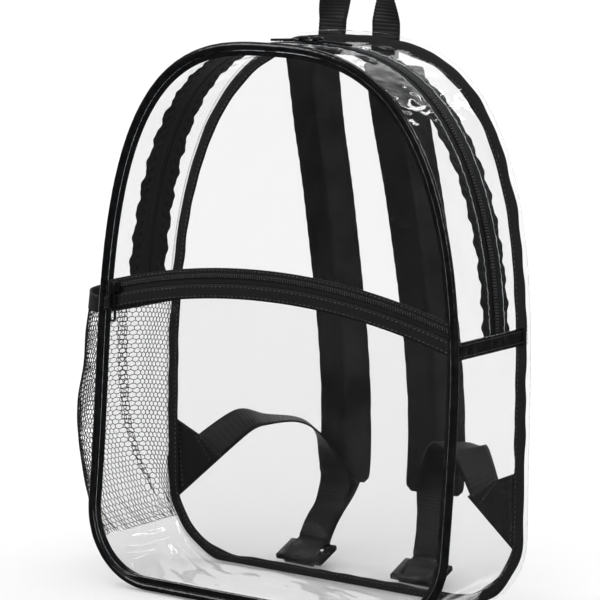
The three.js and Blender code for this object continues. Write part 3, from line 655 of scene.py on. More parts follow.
piping = laid_grid(
    "front_piping_wrap", (2 * math.pi * PIPING_RADIUS, SEAM_LENGTH), (16, 600), piping_place, closed=True
)
dress(piping, PIPING_VINYL, "glossy_vinyl", "front_piping")
flange = laid_grid(
    "front_piping_flange", (FRONT_FLANGE, SEAM_LENGTH), (3, 400),
    seam_band(front_y, -SEAM_CLEARANCE - FRONT_FLANGE, -SEAM_CLEARANCE + 0.8, 1.3),
)
binding = laid_grid(
    "back_seam_binding", (BINDING_WIDTH, SEAM_LENGTH), (4, 400),
    seam_band(back_y, -BINDING_WIDTH / 2, BINDING_WIDTH / 2, -1.4, 1.6),
)
for piece, material, cad in ((flange, PIPING_VINYL, "front_binding"), (binding, GROSGRAIN, "back_binding")):
    thicken(piece, TAPE)
    dress(piece, material, "black_webbing", cad)


def round_seam(offset, surface, shift):
    def path(way):
        x, z = off_seam(way, offset)
        return Vector((x, surface(z) + shift, max(z, GROUND + 0.4)))

    return path


sewn("stitches_back_binding", [
    (round_seam(-2.6, back_y, -2.1), lambda way: FORWARD),
    (round_seam(-2.6, back_y, -0.7), lambda way: BACKWARD),
])

# %% [markdown]
# ## Main zip
# A nylon coil between two woven tapes. Each tape is sewn to the clear sheet with a wavy binding tape, whose
# ruffled edge shows through the sheet.

# %% Main zip
TAPE_REACH = 15
COIL_WIDTH = 5.4
COIL_PITCH = 2.3
WAVE_LENGTH = 21
WAVE_HEIGHT = 1.5
UNDER_SHEET = -1.3
ZIP_SPAN = (BAND_SHARE["middle"], 1 - BAND_SHARE["middle"])


def wavy_reach(side):
    def reach(share):
        wave = math.sin(share * SEAM_LENGTH * 2 * math.pi / WAVE_LENGTH + side)
        ragged = noise.noise(Vector((share * SEAM_LENGTH / 9, side, 0)))
        return zip_middle(share) + side * (zip_place(share, "reach") + WAVE_HEIGHT * wave + ragged)

    return reach


for side, name in ((-1, "front"), (1, "back")):
    tape = strip(
        f"zip_tape_{name}_woven", *ZIP_SPAN,
        lambda share: zip_middle(share) + side * TAPE_REACH,
        lambda share: zip_middle(share) + side * (COIL_WIDTH / 2 - 0.2),
        (6, 300), lambda share, across: UNDER_SHEET,
    )
    thicken(tape, 0.8)
    dress(tape, ZIP_TAPE, "zip_nylon", f"zip_tape_{name}")
    ruffle = strip(
        f"zip_binding_{name}_ruffle", *ZIP_SPAN, wavy_reach(side),
        lambda share: zip_middle(share) + side * (TAPE_REACH - 1.5),
        (5, 420), lambda share, across: UNDER_SHEET + 0.35 * math.sin(share * 900 + across * 2),
    )
    thicken(ruffle, 0.8)
    dress(ruffle, GROSGRAIN, "black_webbing", f"zip_binding_{name}")

coil_bed = strip(
    "zip_coil_bed", *ZIP_SPAN,
    lambda share: zip_middle(share) - COIL_WIDTH / 2 + 0.3,
    lambda share: zip_middle(share) + COIL_WIDTH / 2 - 0.3,
    (4, 300), lambda share, across: -0.9,
)
thicken(coil_bed, 1.2)
dress(coil_bed, ZIP_TAPE, "zip_nylon", "zip_teeth")


def coil_place(half):
    def place(way):
        share = mix(*ZIP_SPAN, way)
        behind = zip_middle(share) + half * COIL_WIDTH * 0.26
        centre = gusset_point(share, behind, -0.1)
        out_x, out_z = outward(share)
        lean = Vector((out_z, 0, -out_x)) * 0.35
        return centre, Vector((0, 1, 0)) + lean * half, Vector((out_x, 0, out_z))

    return place


zip_long = (ZIP_SPAN[1] - ZIP_SPAN[0]) * SEAM_LENGTH
for half, name in ((-1, "front"), (1, "back")):
    teeth = beads(f"zip_teeth_{name}", int(zip_long / COIL_PITCH), coil_place(half), (3.4, 1.3, 2.1))
    dress(teeth, ZIP_COIL_PAINTED_HIGHLIGHT, "zip_nylon")
print("zip length in millimetres:", round(zip_long))


def along_gusset(behind, above):
    return lambda way: gusset_point(mix(*ZIP_SPAN, way), behind(mix(*ZIP_SPAN, way)), above)


def facing_out(way):
    out_x, out_z = outward(mix(*ZIP_SPAN, way))
    return Vector((out_x, 0, out_z))


sewn("stitches_zip", [
    (along_gusset(lambda share: zip_middle(share) + side * (ZIP_WINDOW / 2 + 1.8), 0.8), facing_out)
    for side in (-1, 1)
])

# %% [markdown]
# ## Side bands
# A short band of glossy woven tape closes each side seam over the end of the main zip.

# %% Side bands
def across_band(share):
    return lambda way: gusset_point(share, mix(SEAM_CLEARANCE, back_edge(share), way), 2.2)


for side, name in ((1, "right"), (-1, "left")):
    low, high = sorted((side * BAND_SHARE["low"] % 1, side * BAND_SHARE["high"] % 1))
    band = strip(
        f"side_band_{name}_tape", low, high, lambda share: SEAM_CLEARANCE, back_edge,
        (40, 8), lambda share, across: 1.5 + 0.3 * noise.noise(Vector((across * 14, share * 40, side))),
    )
    thicken(band, 1.0)
    dress(band, PIPING_VINYL, "black_webbing", f"side_band_{name}")

    frayed = beads(
        f"frayed_band_{name}", 22,
        lambda way: (
            gusset_point(mix(low, high, way), back_edge(low) + 4.5, 1.6),
            Vector((side * 0.3 * math.sin(way * 40), 1, 0.5 * math.sin(way * 73))),
            Vector((side, 0, 0)),
        ), (6.5, 0.5, 0.45),
    )
    dress(frayed, THREAD_PAINTED_HIGHLIGHT, "black_webbing")
    sewn(f"stitches_band_{name}", [
        (across_band(mix(low, high, near)), lambda way: Vector((side, 0, 0)))
        for near in (0.18, 0.82)
    ])

# %% [markdown]
# ## Front pocket
# The pocket is a second clear sheet sewn into the front seam on three sides. Its top edge is bound with
# stitched tape below an arched zip that is sewn across the front panel.

# %% Pocket sheet and zip
POCKET_CROWN = 259.5
POCKET_RISE = 22
POCKET_HALF = off_seam(share_at(POCKET_CROWN), -SEAM_CLEARANCE)[0]
BINDING_END = 23.6
POCKET_BULGE = 9
POCKET_NEAR = 0.8
POCKET_COIL_DROP = 5.95
POCKET_COIL_PITCH = 2.1


def pocket_arch(x):
    return POCKET_CROWN - POCKET_RISE * (x / POCKET_HALF) ** 2


def pocket_puff(x, z, half):
    up = min(max((z - SEAM_CLEARANCE) / (pocket_arch(x) - BINDING_END - SEAM_CLEARANCE), 0), 1)
    return POCKET_BULGE * math.sin(math.pi * up) * max(1 - (x / half) ** 2, 0)


def pocket_place(u, v):
    side_top = pocket_arch(POCKET_HALF) - BINDING_END
    low_share, high_share = share_at(SEAM_CLEARANCE), share_at(side_top)
    half, height = off_seam(mix(low_share, high_share, min(v / 0.96, 1)), -SEAM_CLEARANCE)
    x = (2 * u - 1) * half
    rise = (height - SEAM_CLEARANCE) / (side_top - SEAM_CLEARANCE)
    z = mix(SEAM_CLEARANCE, pocket_arch(x) - BINDING_END, min(rise, 1)) + max(v - 0.96, 0) / 0.04 * 10
    slack = swell(x, 0, z, 55, 2.2, 6) * smooth(min(1 - abs(2 * u - 1), v, 1 - v) * 7)
    return Vector((x, front_y(z) - POCKET_NEAR - 0.5 - pocket_puff(x, z, half) - abs(slack), z))


pocket_panel = laid_grid("pocket_panel_sheet", (2 * HALF_WIDTH, 220), (44, 60), pocket_place)
thicken(pocket_panel, SHEET_SHOWN)
dress_clear(pocket_panel, "pocket_panel")


def arch_end(drop):
    """How far out a band that lies this far below the arch meets the seam."""
    x = POCKET_HALF
    for step in range(6):
        x = off_seam(share_at(pocket_arch(x) - drop), -SEAM_CLEARANCE)[0]
    return x


def arch_place(top, bottom, near):
    first, last = arch_end(top), arch_end(bottom)

    def place(u, v):
        x = (2 * v - 1) * mix(first, last, u)
        z = pocket_arch(x) - mix(top, bottom, u)
        return Vector((x, front_y(z) - near, z))

    return place


ARCH_LENGTH = 2 * POCKET_HALF * 1.01
for name, top, bottom, near, material, slot in (
    ("pocket_zip_tape_upper", 0, 5.7, 1.3, ZIP_TAPE, "zip_nylon"),
    ("pocket_zip_tape_lower", 6.1, 12.8, 1.3, ZIP_TAPE, "zip_nylon"),
    ("pocket_zip_teeth", 4.4, 7.5, 1.9, ZIP_TAPE, "zip_nylon"),
    ("pocket_binding", 12.2, 23.6, 2.9, GROSGRAIN, "black_webbing"),
):
    band = laid_grid(f"{name}_strip", (bottom - top, ARCH_LENGTH), (6, 160), arch_place(top, bottom, near))
    thicken(band, 1.0)
    dress(band, material, slot, name)


def pocket_coil(half):
    def place(way):
        drop = POCKET_COIL_DROP + half * 0.8
        at = arch_place(drop, drop, 2.3)
        return at(0, way), Vector((0.35 * half, 0, 1)), FORWARD

    return place


for half, name in ((-1, "upper"), (1, "lower")):
    teeth = beads(
        f"pocket_teeth_{name}", int(ARCH_LENGTH / POCKET_COIL_PITCH),
        pocket_coil(half), (2.5, 1.15, 1.9),
    )
    dress(teeth, ZIP_COIL_PAINTED_HIGHLIGHT, "zip_nylon")

sewn("stitches_pocket", [
    (lambda way, at=arch_place(drop, drop, near): at(0, way), lambda way: FORWARD)
    for drop, near in ((1.6, 1.9), (14.3, 3.5), (21.6, 3.5))
])

# %% [markdown]
# ## Net bottle pocket
# The pocket is elastic knitted mesh of six-sided holes. One hexagon is repeated into rows and sheets, each
# point is laid on the bulging pocket, and a Wireframe modifier turns the hexagons' edges into yarn. The
# slack is laid in one pleat and gathered into the two lower corners, as elastic net pulls itself.

# %% Net pocket
NET_BOTTOM = 31
NET_BULGE, NET_MOUTH_BULGE = 53, 33
NET_PLEAT, NET_PLEAT_DRAW, NET_PLEAT_STEP = 0.06, 3, 2.5
NET_TANGLES = ((0.13, 0.13), (0.74, 0.1))
NET_PITCH = 3.9
NET_TOP_LIFT = 2.7


def net_rise(share):
    return min(max((on_seam(share)[1] - NET_BOTTOM) / (BAND_LOW - NET_BOTTOM), 0), 1)


def net_depth(across):
    """Share of the bag's depth reached by a share of the net's width: the net runs round half an oval."""
    return (1 - math.cos(math.pi * min(max(across, 0), 1))) / 2


def net_above(share, across):
    rise = net_rise(share)
    swing = math.sin(math.pi / 2 * min(rise / 0.5, 1)) ** 1.2
    belly = mix(NET_BULGE, NET_MOUTH_BULGE, rise) * swing * math.sin(math.pi * min(max(across, 0), 1))
    held = smooth(min(across, 1 - across) * 8)
    slack = noise.noise(Vector((across * 6, rise * 5, 3))) * 2.5
    gather = noise.noise(Vector((across * 22, rise * 9, 9))) * 3.5 * (1 - smooth(rise / 0.2))
    return mix(0.8, NET_TOP_LIFT, rise) + max(belly + (slack + gather) * held, 0)


def tangled(across, rise):
    """1 where the cut is gathered into the lower corners, falling to 0 beside them."""
    near = max(math.exp(-(((across - centre) / width) ** 2)) for centre, width in NET_TANGLES)
    return near * (1 - smooth(rise / 0.22))


def net_place(across, rise):
    """The slack is taken up by one pleat, where the net runs forward, back and forward again."""
    share = -mix(share_at(NET_BOTTOM), BAND_SHARE["low"], rise)
    width = NET_PLEAT * mix(0.5, 1, rise)
    past = (across - mix(0.8, 0.64, rise)) / width
    held = smooth(rise / 0.2) * smooth((1.04 - rise) / 0.08)
    pull = past * math.exp(-past * past) * held
    drawn = across - NET_PLEAT_DRAW * width * pull
    loose = 2.6 * tangled(across, rise) + 1.3 * math.exp(-past * past / 2) * held
    loose *= smooth(min(across, 1 - across, rise) * 30)
    shake = Vector([noise.noise(Vector((across * 40, rise * 42, layer))) for layer in (13, 31, 53)]) * loose
    behind = mix(SEAM_CLEARANCE, back_edge(share), net_depth(drawn)) + shake.x
    above = net_above(share, drawn) + 0.5 - NET_PLEAT_STEP * pull + abs(shake.z)
    return gusset_point(share + shake.y / SEAM_LENGTH, behind, above)


def hexagon_net(name, width, height, pitch, place):
    """Six-sided meshes of one pitch over a flat cut, then laid by place."""
    side = pitch / math.sqrt(3)
    columns, rows = int(width / pitch), int(height / (1.5 * side))
    bm = bmesh.new()
    first = bmesh.ops.create_circle(bm, cap_ends=True, segments=6, radius=side)["verts"]
    for step in range(1, columns):
        copy = bmesh.ops.duplicate(bm, geom=[*first, *first[0].link_faces])
        moved = [item for item in copy["geom"] if isinstance(item, bmesh.types.BMVert)]
        bmesh.ops.translate(bm, verts=moved, vec=(pitch * step, 0, 0))
    row = [*bm.verts, *bm.edges, *bm.faces]
    for step in range(1, rows):
        copy = bmesh.ops.duplicate(bm, geom=row)
        moved = [item for item in copy["geom"] if isinstance(item, bmesh.types.BMVert)]
        bmesh.ops.translate(bm, verts=moved, vec=(pitch / 2 * (step % 2), 1.5 * side * step, 0))
    bmesh.ops.remove_doubles(bm, verts=bm.verts, dist=pitch * 0.05)
    span = max(vert.co.x for vert in bm.verts) - min(vert.co.x for vert in bm.verts)
    rise = max(vert.co.y for vert in bm.verts) - min(vert.co.y for vert in bm.verts)
    left, low = min(vert.co.x for vert in bm.verts), min(vert.co.y for vert in bm.verts)
    for vert in bm.verts:
        vert.co = to_frame(place((vert.co.x - left) / span, (vert.co.y - low) / rise))
    return new_object(name, bm)


NET_CUT = (156, 165)
net = hexagon_net("net_pocket_mesh", *NET_CUT, NET_PITCH, net_place)
yarn = net.modifiers.new("yarn", "WIREFRAME")
yarn.thickness = 0.7 * MM
yarn.use_even_offset = False
dress(net, NET_YARN, "black_net", "net_pocket")


def net_band_place(u, v):
    share = -mix(BAND_SHARE["low"], BAND_SHARE["high"], u)
    behind = mix(SEAM_CLEARANCE, back_edge(share), net_depth(v))
    ripple = 0.7 * math.sin(v * 40) * smooth(min(v, 1 - v) * 8)
    return gusset_point(share, behind, net_above(-BAND_SHARE["low"], v) + 0.6 + ripple * (1 - u))


net_band = laid_grid("net_pocket_band_tape", (14, 128), (6, 90), net_band_place)
thicken(net_band, 1.1)
dress(net_band, GROSGRAIN, "black_webbing", "net_pocket_band")
print("meshes in the net:", len(net.data.polygons))

# %% [markdown]
# ## Handle and straps of webbing
# Webbing is a thick ribbed ribbon. A path and the way of its width are all that each ribbon needs. Its
# ribs are real relief, one ridge every two millimetres or a little more.


# %% Ribbon helpers
def curve_through(points):
    """A smooth path through a few points, by share of the way."""
    points = [Vector(point) for point in points]
    count = len(points) - 1

    def path(way):
        spot = min(max(way, 0), 1) * count
        index = min(int(spot), count - 1)
        t = spot - index
        a, b = points[max(index - 1, 0)], points[index]
        c, d = points[index + 1], points[min(index + 2, count)]
        return 0.5 * (
            2 * b + (c - a) * t + (2 * a - 5 * b + 4 * c - d) * t ** 2 + (3 * b - a - 3 * c + d) * t ** 3
        )

    return path


def ribbon(name, path, width_way, width, thickness, length, rib=2.0, edge_wave=0.0):
    def place(u, v):
        across = width_way(v).normalized()
        up = direction(path, v).cross(across).normalized()
        ridge = 0.16 * math.sin(v * length * 2 * math.pi / rib)
        frill = edge_wave * noise.noise(Vector((v * length / 12, u * 3, 1))) * abs(2 * u - 1)
        return path(v) + across * ((u - 0.5) * width + frill) + up * ridge

    steps = (8, min(int(length / 0.5), 640))
    piece = laid_grid(name, (width, length), steps, place)
    thicken(piece, thickness)
    return piece


# %% Handle
HANDLE_WIDTH = 25
HANDLE_HEIGHT = 72
HANDLE_SPACING = 50
HANDLE_ROOT = 12
HANDLE_LEAN = 6
PANEL_TOP = HEIGHT + BACK_RIM


def handle_climb(z):
    start = PANEL_TOP + 8
    return max(z - start, 0) / (HEIGHT + HANDLE_HEIGHT - start)


def handle_path(way):
    turn = way * math.pi
    across = math.copysign(abs(math.cos(turn)) ** 0.77, math.cos(turn))
    z = mix(HEIGHT - HANDLE_ROOT, HEIGHT + HANDLE_HEIGHT, max(math.sin(turn), 0) ** 0.77)
    y = back_y(min(z, PANEL_TOP)) + 1.7 + HANDLE_LEAN * handle_climb(z) ** 2
    return Vector((-across * HANDLE_SPACING / 2, y, z))


def handle_width_way(way):
    quarter = math.pi / 2 * handle_climb(handle_path(way).z)
    twist = quarter if way < 0.5 else math.pi - quarter
    return Vector((math.cos(twist), math.sin(twist), 0))


handle = ribbon(
    "handle_webbing", handle_path, handle_width_way, HANDLE_WIDTH - 0.5, 1.6, path_length(handle_path)
)
dress(handle, WEBBING, "black_webbing", "handle")


def handle_line(across, start, end):
    return lambda way: handle_path(mix(start, end, way)) + Vector((across, 2.0, 0))


def handle_cross(at):
    middle = handle_path(at)
    return lambda way: middle + Vector((mix(-10, 10, way), 2.0, 0))


sewn("stitches_handle", [
    (line, lambda way: BACKWARD)
    for first, last in ((0.004, 0.075), (0.925, 0.996))
    for line in (
        handle_line(-10, first, last), handle_line(10, first, last),
        handle_cross(first), handle_cross(last),
    )
])

# %% [markdown]
# ## Padded shoulder straps
# Each pad is foam between two faces of cloth. It is remeshed and blown up a little by a short cloth
# simulation, so its faces crown and its edges stay thin, then smoothed. Each pad hangs a little turned and
# shifted in its own way. The part to the right of its crease gets a lighter copy of the same cloth: painted
# light, for the side that turns toward the lamps.

# %% Pads
STRAP_CENTRE = 42
PAD_WIDTH = 50
PAD_THICKNESS = 8
PAD_START_WIDTH = 1.09
PAD_CREASE = 3
# name, side, how far the top leans inward, turn as depth per width, and sideways shift
PAD_HANGS = (("right", 1, 12, 0.1, 0), ("left", -1, 0, -0.08, -2.5))
PAD_TOP, PAD_BOTTOM = 414, 62
PAD_LINE = ((0, 4.9), (0.15, 20.8), (0.33, 42.2), (0.64, 69.2), (0.84, 76.8), (1, 74))


def pad_points():
    heights = [mix(PAD_TOP, PAD_BOTTOM, drop) for drop, hang in PAD_LINE]
    return [(STRAP_CENTRE, back_y(z) + hang, z) for z, (drop, hang) in zip(heights, PAD_LINE)]


pad_path = curve_through(pad_points())


def pad_place(u, v):
    turn = 2 * math.pi * u
    taper = 1 - 0.22 * smooth((v - 0.955) / 0.045)
    across = math.copysign(abs(math.cos(turn)) ** 0.5, math.cos(turn)) * PAD_WIDTH / 2 * taper
    up = Vector((1, 0, 0)).cross(direction(pad_path, v)).normalized()
    thick = math.copysign(abs(math.sin(turn)) ** 0.8, math.sin(turn)) * PAD_THICKNESS * 0.42
    return pad_path(v) + Vector((across * PAD_START_WIDTH, 0, 0)) + up * thick


def inflate(piece, voxel, pressure, cap):
    """A few frames of cloth simulation under pressure; no point moves further than cap millimetres."""
    remesh = piece.modifiers.new("remesh", "REMESH")
    remesh.mode = "VOXEL"
    remesh.voxel_size = voxel * MM
    bpy.context.view_layer.objects.active = piece
    bpy.ops.object.modifier_apply(modifier="remesh")
    before = [vert.co.copy() for vert in piece.data.vertices]
    cloth = piece.modifiers.new("cloth", "CLOTH")
    cloth.settings.use_pressure = True
    cloth.settings.uniform_pressure_force = pressure
    cloth.settings.effector_weights.gravity = 0
    cloth.point_cache.frame_end = 20
    for number in range(1, 21):
        bpy.context.scene.frame_set(number)
    bpy.ops.object.modifier_apply(modifier="cloth")
    bpy.context.scene.frame_set(1)
    for vert, start in zip(piece.data.vertices, before):
        moved = vert.co - start
        if moved.length > cap * MM:
            vert.co = start + moved.normalized() * cap * MM


def make_pad():
    pad = laid_grid("strap_pad", (2 * PAD_WIDTH, 360), (40, 120), pad_place, closed=True)
    inflate(pad, 3.5, 2, 0.7)
    return pad


pad_source = make_pad()
for name, side, lean, turn, shift in PAD_HANGS:
    bm = bmesh.new()
    bm.from_mesh(pad_source.data)
    if side < 0:
        bmesh.ops.translate(bm, verts=bm.verts, vec=(-ORIGIN.x, 0, 0))
        bmesh.ops.scale(bm, verts=bm.verts, vec=(-1, 1, 1))
        bmesh.ops.translate(bm, verts=bm.verts, vec=(ORIGIN.x, 0, 0))
        bmesh.ops.reverse_faces(bm, faces=bm.faces)
    bmesh.ops.smooth_vert(
        bm, verts=bm.verts, factor=0.5, use_axis_x=True, use_axis_y=True, use_axis_z=True
    )
    for vert in bm.verts:
        right_of_crease = (vert.co.x - ORIGIN.x) / MM - side * STRAP_CENTRE - PAD_CREASE
        groove = 1.3 * math.exp(-((right_of_crease / 3) ** 2))
        turned = turn * (right_of_crease + PAD_CREASE)
        vert.co.y += (groove + 0.1 * max(right_of_crease, 0) + turned) * MM
        height = ((vert.co.z - ORIGIN.z) / MM - PAD_BOTTOM) / (PAD_TOP - PAD_BOTTOM)
        vert.co.x += (shift - lean * max(height, 0) ** 2) * MM
    pad = new_object(f"strap_pad_{name}_cloth", bm)
    pad.data.materials.append(PAD_CLOTH)
    pad.data.materials.append(PAD_CLOTH_PAINTED_LIT)
    for polygon in pad.data.polygons:
        # Faces right of the crease get the lighter copy of the cloth, which paints light on that side.
        height = ((polygon.center.z - ORIGIN.z) / MM - PAD_BOTTOM) / (PAD_TOP - PAD_BOTTOM)
        crease = side * STRAP_CENTRE + PAD_CREASE + shift - lean * max(height, 0) ** 2
        facing = (polygon.center.x - ORIGIN.x) / MM > crease
        polygon.material_index = 1 if facing else 0
    subdivision = pad.modifiers.new("smooth", "SUBSURF")
    subdivision.levels = subdivision.render_levels = 1
    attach(pad, "root")
    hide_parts(f"strap_pad_{name}")
bpy.data.objects.remove(pad_source)
print("faces of one pad:", len(pad.data.polygons))

# %% [markdown]
# ## Lower straps, ladder locks and tabs
# A ribbon of webbing runs from each pad to its ladder lock, and another from the lock to a triangular tab
# in the lower back seam. The slack ribbon rises in an arc before it reaches the tab.

# %% Lower straps
WEBBING_WIDTH = 28
LOCK_WIDTH, LOCK_LENGTH, LOCK_THICKNESS, LOCK_BAR = 44, 26, 4.5, 4
STAND_TILT = math.radians(40)
LOCK_TILT = math.radians(22)
LOCK_WAY = Vector((0, math.cos(LOCK_TILT), math.sin(LOCK_TILT)))
LOCK_FACE = Vector((0, -math.sin(LOCK_TILT), math.cos(LOCK_TILT)))
LOCK_CENTRE = Vector((
    STRAP_CENTRE + 13,
    back_y(0) + 43 - LOCK_LENGTH / 2 * math.cos(STAND_TILT),
    GROUND + 0.4 + LOCK_LENGTH / 2 * math.sin(STAND_TILT) + LOCK_THICKNESS / 2 * math.cos(STAND_TILT),
))
LOCK_STRAP_LINE = ((0, 0, 0), (0.26, 0.2, 0.3), (0.52, 0.52, 0.68), (0.78, 0.83, 0.9), (1, 1, 1))
TAB_LOW, TAB_HIGH, TAB_END_HEIGHT = 45, 110, 92
TAB_REACH = 35
TAB_SLOPE = math.radians(34)
WEBBING_RISE = 24
SIDE_LINE = (
    (0, 0, 0, 0, -34), (0.27, 0.28, 0.95, -22, -26), (0.45, 0.48, 1, -45, -5), (0.7, 0.72, 0.98, -57, 5),
    (0.85, 0.88, 0.52, -48, 8), (0.95, 0.97, -0.4, -18, 3), (1, 1, -1.05, 0, 0),
)

strap_start = pad_path(0.985)
strap_end = LOCK_CENTRE + LOCK_WAY * (LOCK_LENGTH / 2 + 0.6)
lock_strap_path = curve_through([
    (mix(strap_start.x, strap_end.x, out), mix(strap_start.y, strap_end.y, ahead),
     mix(strap_start.z, strap_end.z, down))
    for down, ahead, out in LOCK_STRAP_LINE
])
tab_half_x = off_seam(share_at(TAB_END_HEIGHT), 0)[0]
tab_end = Vector((tab_half_x - TAB_REACH, 0, TAB_END_HEIGHT))
side_start = Vector((tab_end.x + 3, back_y(TAB_END_HEIGHT) + 3.6, tab_end.z - 2))
side_front = Vector((STRAP_CENTRE + 13 / 3, back_y(PAD_BOTTOM) + 74 - PAD_THICKNESS - 1.6, side_start.z))


def side_ribbon():
    places = [
        Vector((mix(side_start.x, side_front.x, inward), mix(side_start.y, side_front.y, back),
                side_start.z + WEBBING_RISE * rise))
        for inward, back, rise, yaw, pitch in SIDE_LINE
    ]
    ways = []
    for inward, back, rise, yaw, pitch in SIDE_LINE:
        turn, tip = math.radians(yaw), math.radians(pitch)
        ways.append((-math.cos(tip) * math.cos(turn), math.cos(tip) * math.sin(turn), math.sin(tip)))
    for way in (0.4, 0.62, 0.84):
        up = Vector((1, 0, 0)).cross(direction(lock_strap_path, way)).normalized()
        ahead = -1 if up.y > 0 else 1
        places.append(lock_strap_path(way) + up * ahead * 3.5)
        ways.append((-1, 0, 0))
    for rise, lift in ((0.5, 4), (0, 4), (-0.27, 0), (-0.5, -3.2)):
        places.append(LOCK_CENTRE + LOCK_WAY * LOCK_LENGTH * rise + LOCK_FACE * lift)
        ways.append((-1, 0, 0))
    return curve_through(places), curve_through(ways)


side_path, side_ways = side_ribbon()


def slide(vector, side):
    return Vector((vector.x * side, vector.y, vector.z))


for side, name in ((1, "right"), (-1, "left")):
    lower = ribbon(
        f"lock_strap_{name}_webbing", lambda way: slide(lock_strap_path(way), side),
        lambda way: Vector((1, 0, 0)), WEBBING_WIDTH, 1.5, path_length(lock_strap_path), 2.4, 0.5,
    )
    dress(lower, WEBBING, "black_webbing", f"lock_strap_{name}")
    sewn(f"stitches_lock_strap_{name}", [
        (lambda way, at=at, face=face: slide(
            lock_strap_path(at) + Vector((mix(-12, 12, way), 0, 0))
            + Vector((1, 0, 0)).cross(direction(lock_strap_path, at)).normalized() * 1.2 * face, side),
         lambda way, face=face: Vector((0, face, 0)))
        for at in (0.14, 0.5)
        for face in (-1, 1)
    ])
    adjuster = ribbon(
        f"side_webbing_{name}_webbing", lambda way: slide(side_path(way), side),
        lambda way: slide(side_ways(way), side), WEBBING_WIDTH, 1.4, path_length(side_path), 2.2, 0.5,
    )
    dress(adjuster, WEBBING, "black_webbing", f"side_webbing_{name}")
print("webbing in mm:", round(path_length(lock_strap_path)), round(path_length(side_path)))

# %% [markdown]
# A ladder lock is one moulded frame with two slots. It starts as a grid whose slot cells are deleted, and
# is given its thickness and rounded edges by operators.


# %% Ladder locks
def ladder_lock(side):
    bm = bmesh.new()
    bmesh.ops.create_grid(bm, x_segments=3, y_segments=5, size=0.5)
    slot = (LOCK_LENGTH - 3 * LOCK_BAR) / 2
    lines_x = [-LOCK_WIDTH / 2, -WEBBING_WIDTH / 2 - 1, WEBBING_WIDTH / 2 + 1, LOCK_WIDTH / 2]
    lines_y = np.cumsum([-LOCK_LENGTH / 2, LOCK_BAR, slot, LOCK_BAR, slot, LOCK_BAR])
    holes = [face for face in bm.faces if abs(face.calc_center_median().x) < 0.1
             and round((face.calc_center_median().y + 0.5) * 5 - 0.5) in (1, 3)]
    for vert in bm.verts:
        column, row = round((vert.co.x + 0.5) * 3), round((vert.co.y + 0.5) * 5)
        vert.co = Vector((lines_x[column], lines_y[row], 0))
    bmesh.ops.delete(bm, geom=holes, context="FACES")
    bmesh.ops.solidify(bm, geom=bm.faces, thickness=LOCK_THICKNESS)
    bmesh.ops.recalc_face_normals(bm, faces=bm.faces)
    middle = (max(v.co.z for v in bm.verts) + min(v.co.z for v in bm.verts)) / 2
    bmesh.ops.translate(bm, verts=bm.verts, vec=(0, 0, -middle))
    sharp = [edge for edge in bm.edges if edge.calc_face_angle(0) > 1]
    bmesh.ops.bevel(bm, geom=sharp, offset=0.8, offset_type="OFFSET", segments=2, profile=0.5,
                    affect="EDGES", material=-1)
    for vert in bm.verts:
        spot = LOCK_CENTRE + Vector((vert.co.x, 0, 0)) + LOCK_WAY * vert.co.y + LOCK_FACE * vert.co.z
        vert.co = to_frame(slide(spot, side))
    bmesh.ops.recalc_face_normals(bm, faces=bm.faces)
    return new_object(f"ladder_lock_{'right' if side > 0 else 'left'}_frame", bm)


def tab_outline(side):
    reach = Vector((math.cos(TAB_SLOPE), 0, math.sin(TAB_SLOPE))) * WEBBING_WIDTH / 2
    low_x, high_x = off_seam(share_at(TAB_LOW), 0)[0] - 1, off_seam(share_at(TAB_HIGH), 0)[0] - 1
    corners = (Vector((low_x, 0, TAB_LOW)), Vector((high_x, 0, TAB_HIGH)), tab_end + reach, tab_end - reach)
    return [slide(corner, side) for corner in corners]


def tab_place(side):
    low, high, end_high, end_low = tab_outline(side)

    def place(u, v):
        spot = low.lerp(end_low, u).lerp(high.lerp(end_high, u), v)
        spot.y = back_y(spot.z) + 1.8
        return spot

    return place


for side, name in ((1, "right"), (-1, "left")):
    dress(ladder_lock(side), ACETAL, "black_plastic", f"ladder_lock_{name}")
    tab = laid_grid(f"strap_tab_{name}_cloth", (40, 50), (16, 20), tab_place(side))
    thicken(tab, 1.8)
    dress(tab, WEBBING, "black_webbing", f"strap_tab_{name}")
    edge = tab_place(side)
    sewn(f"stitches_tab_{name}", [
        (lambda way, a=a, b=b, y=y: edge(mix(a[0], b[0], way), mix(a[1], b[1], way)) + Vector((0, y, 0)),
         lambda way, y=y: Vector((0, y, 0)))
        for y in (-1.2, 1.2)
        for a, b in (((0.12, 0.06), (0.12, 0.94)), ((0.8, 0.1), (0.8, 0.9)), ((0.95, 0.1), (0.95, 0.9)))
    ])

# %% [markdown]
# ## Zip hardware
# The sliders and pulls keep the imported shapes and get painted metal.

# %% Sliders and pulls
def softened(name):
    """A copy of a packed metal part with its corners merged and its edges rounded."""
    bm = bmesh.new()
    bm.from_mesh(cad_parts[name].data)
    bmesh.ops.remove_doubles(bm, verts=bm.verts, dist=1e-6)
    bmesh.ops.dissolve_limit(bm, angle_limit=0.05, verts=bm.verts, edges=bm.edges)
    sharp = [edge for edge in bm.edges if edge.is_manifold and edge.calc_face_angle(0) > 0.6]
    bmesh.ops.bevel(bm, geom=sharp, offset=0.35 * MM, offset_type="OFFSET", segments=2, profile=0.5,
                    affect="EDGES", material=-1, clamp_overlap=True)
    bmesh.ops.recalc_face_normals(bm, faces=bm.faces)
    return new_object(f"{name}_metal", bm)


for name in ("zip_slider_left", "zip_slider_right", "zip_pull_left", "zip_pull_right",
             "pocket_slider", "pocket_pull"):
    dress(softened(name), SLIDER_PAINT, "black_metal", name)

# %% [markdown]
# ## Stage and light
# The photograph has a plain white studio. The world gives the even light on cloth and floor, and the lamps
# give the vinyl and the painted metal their glints. What the vinyl mirrors is a dark room with one pale wall
# behind the bag, so the black trim stays black while the flat base of the bag mirrors white.

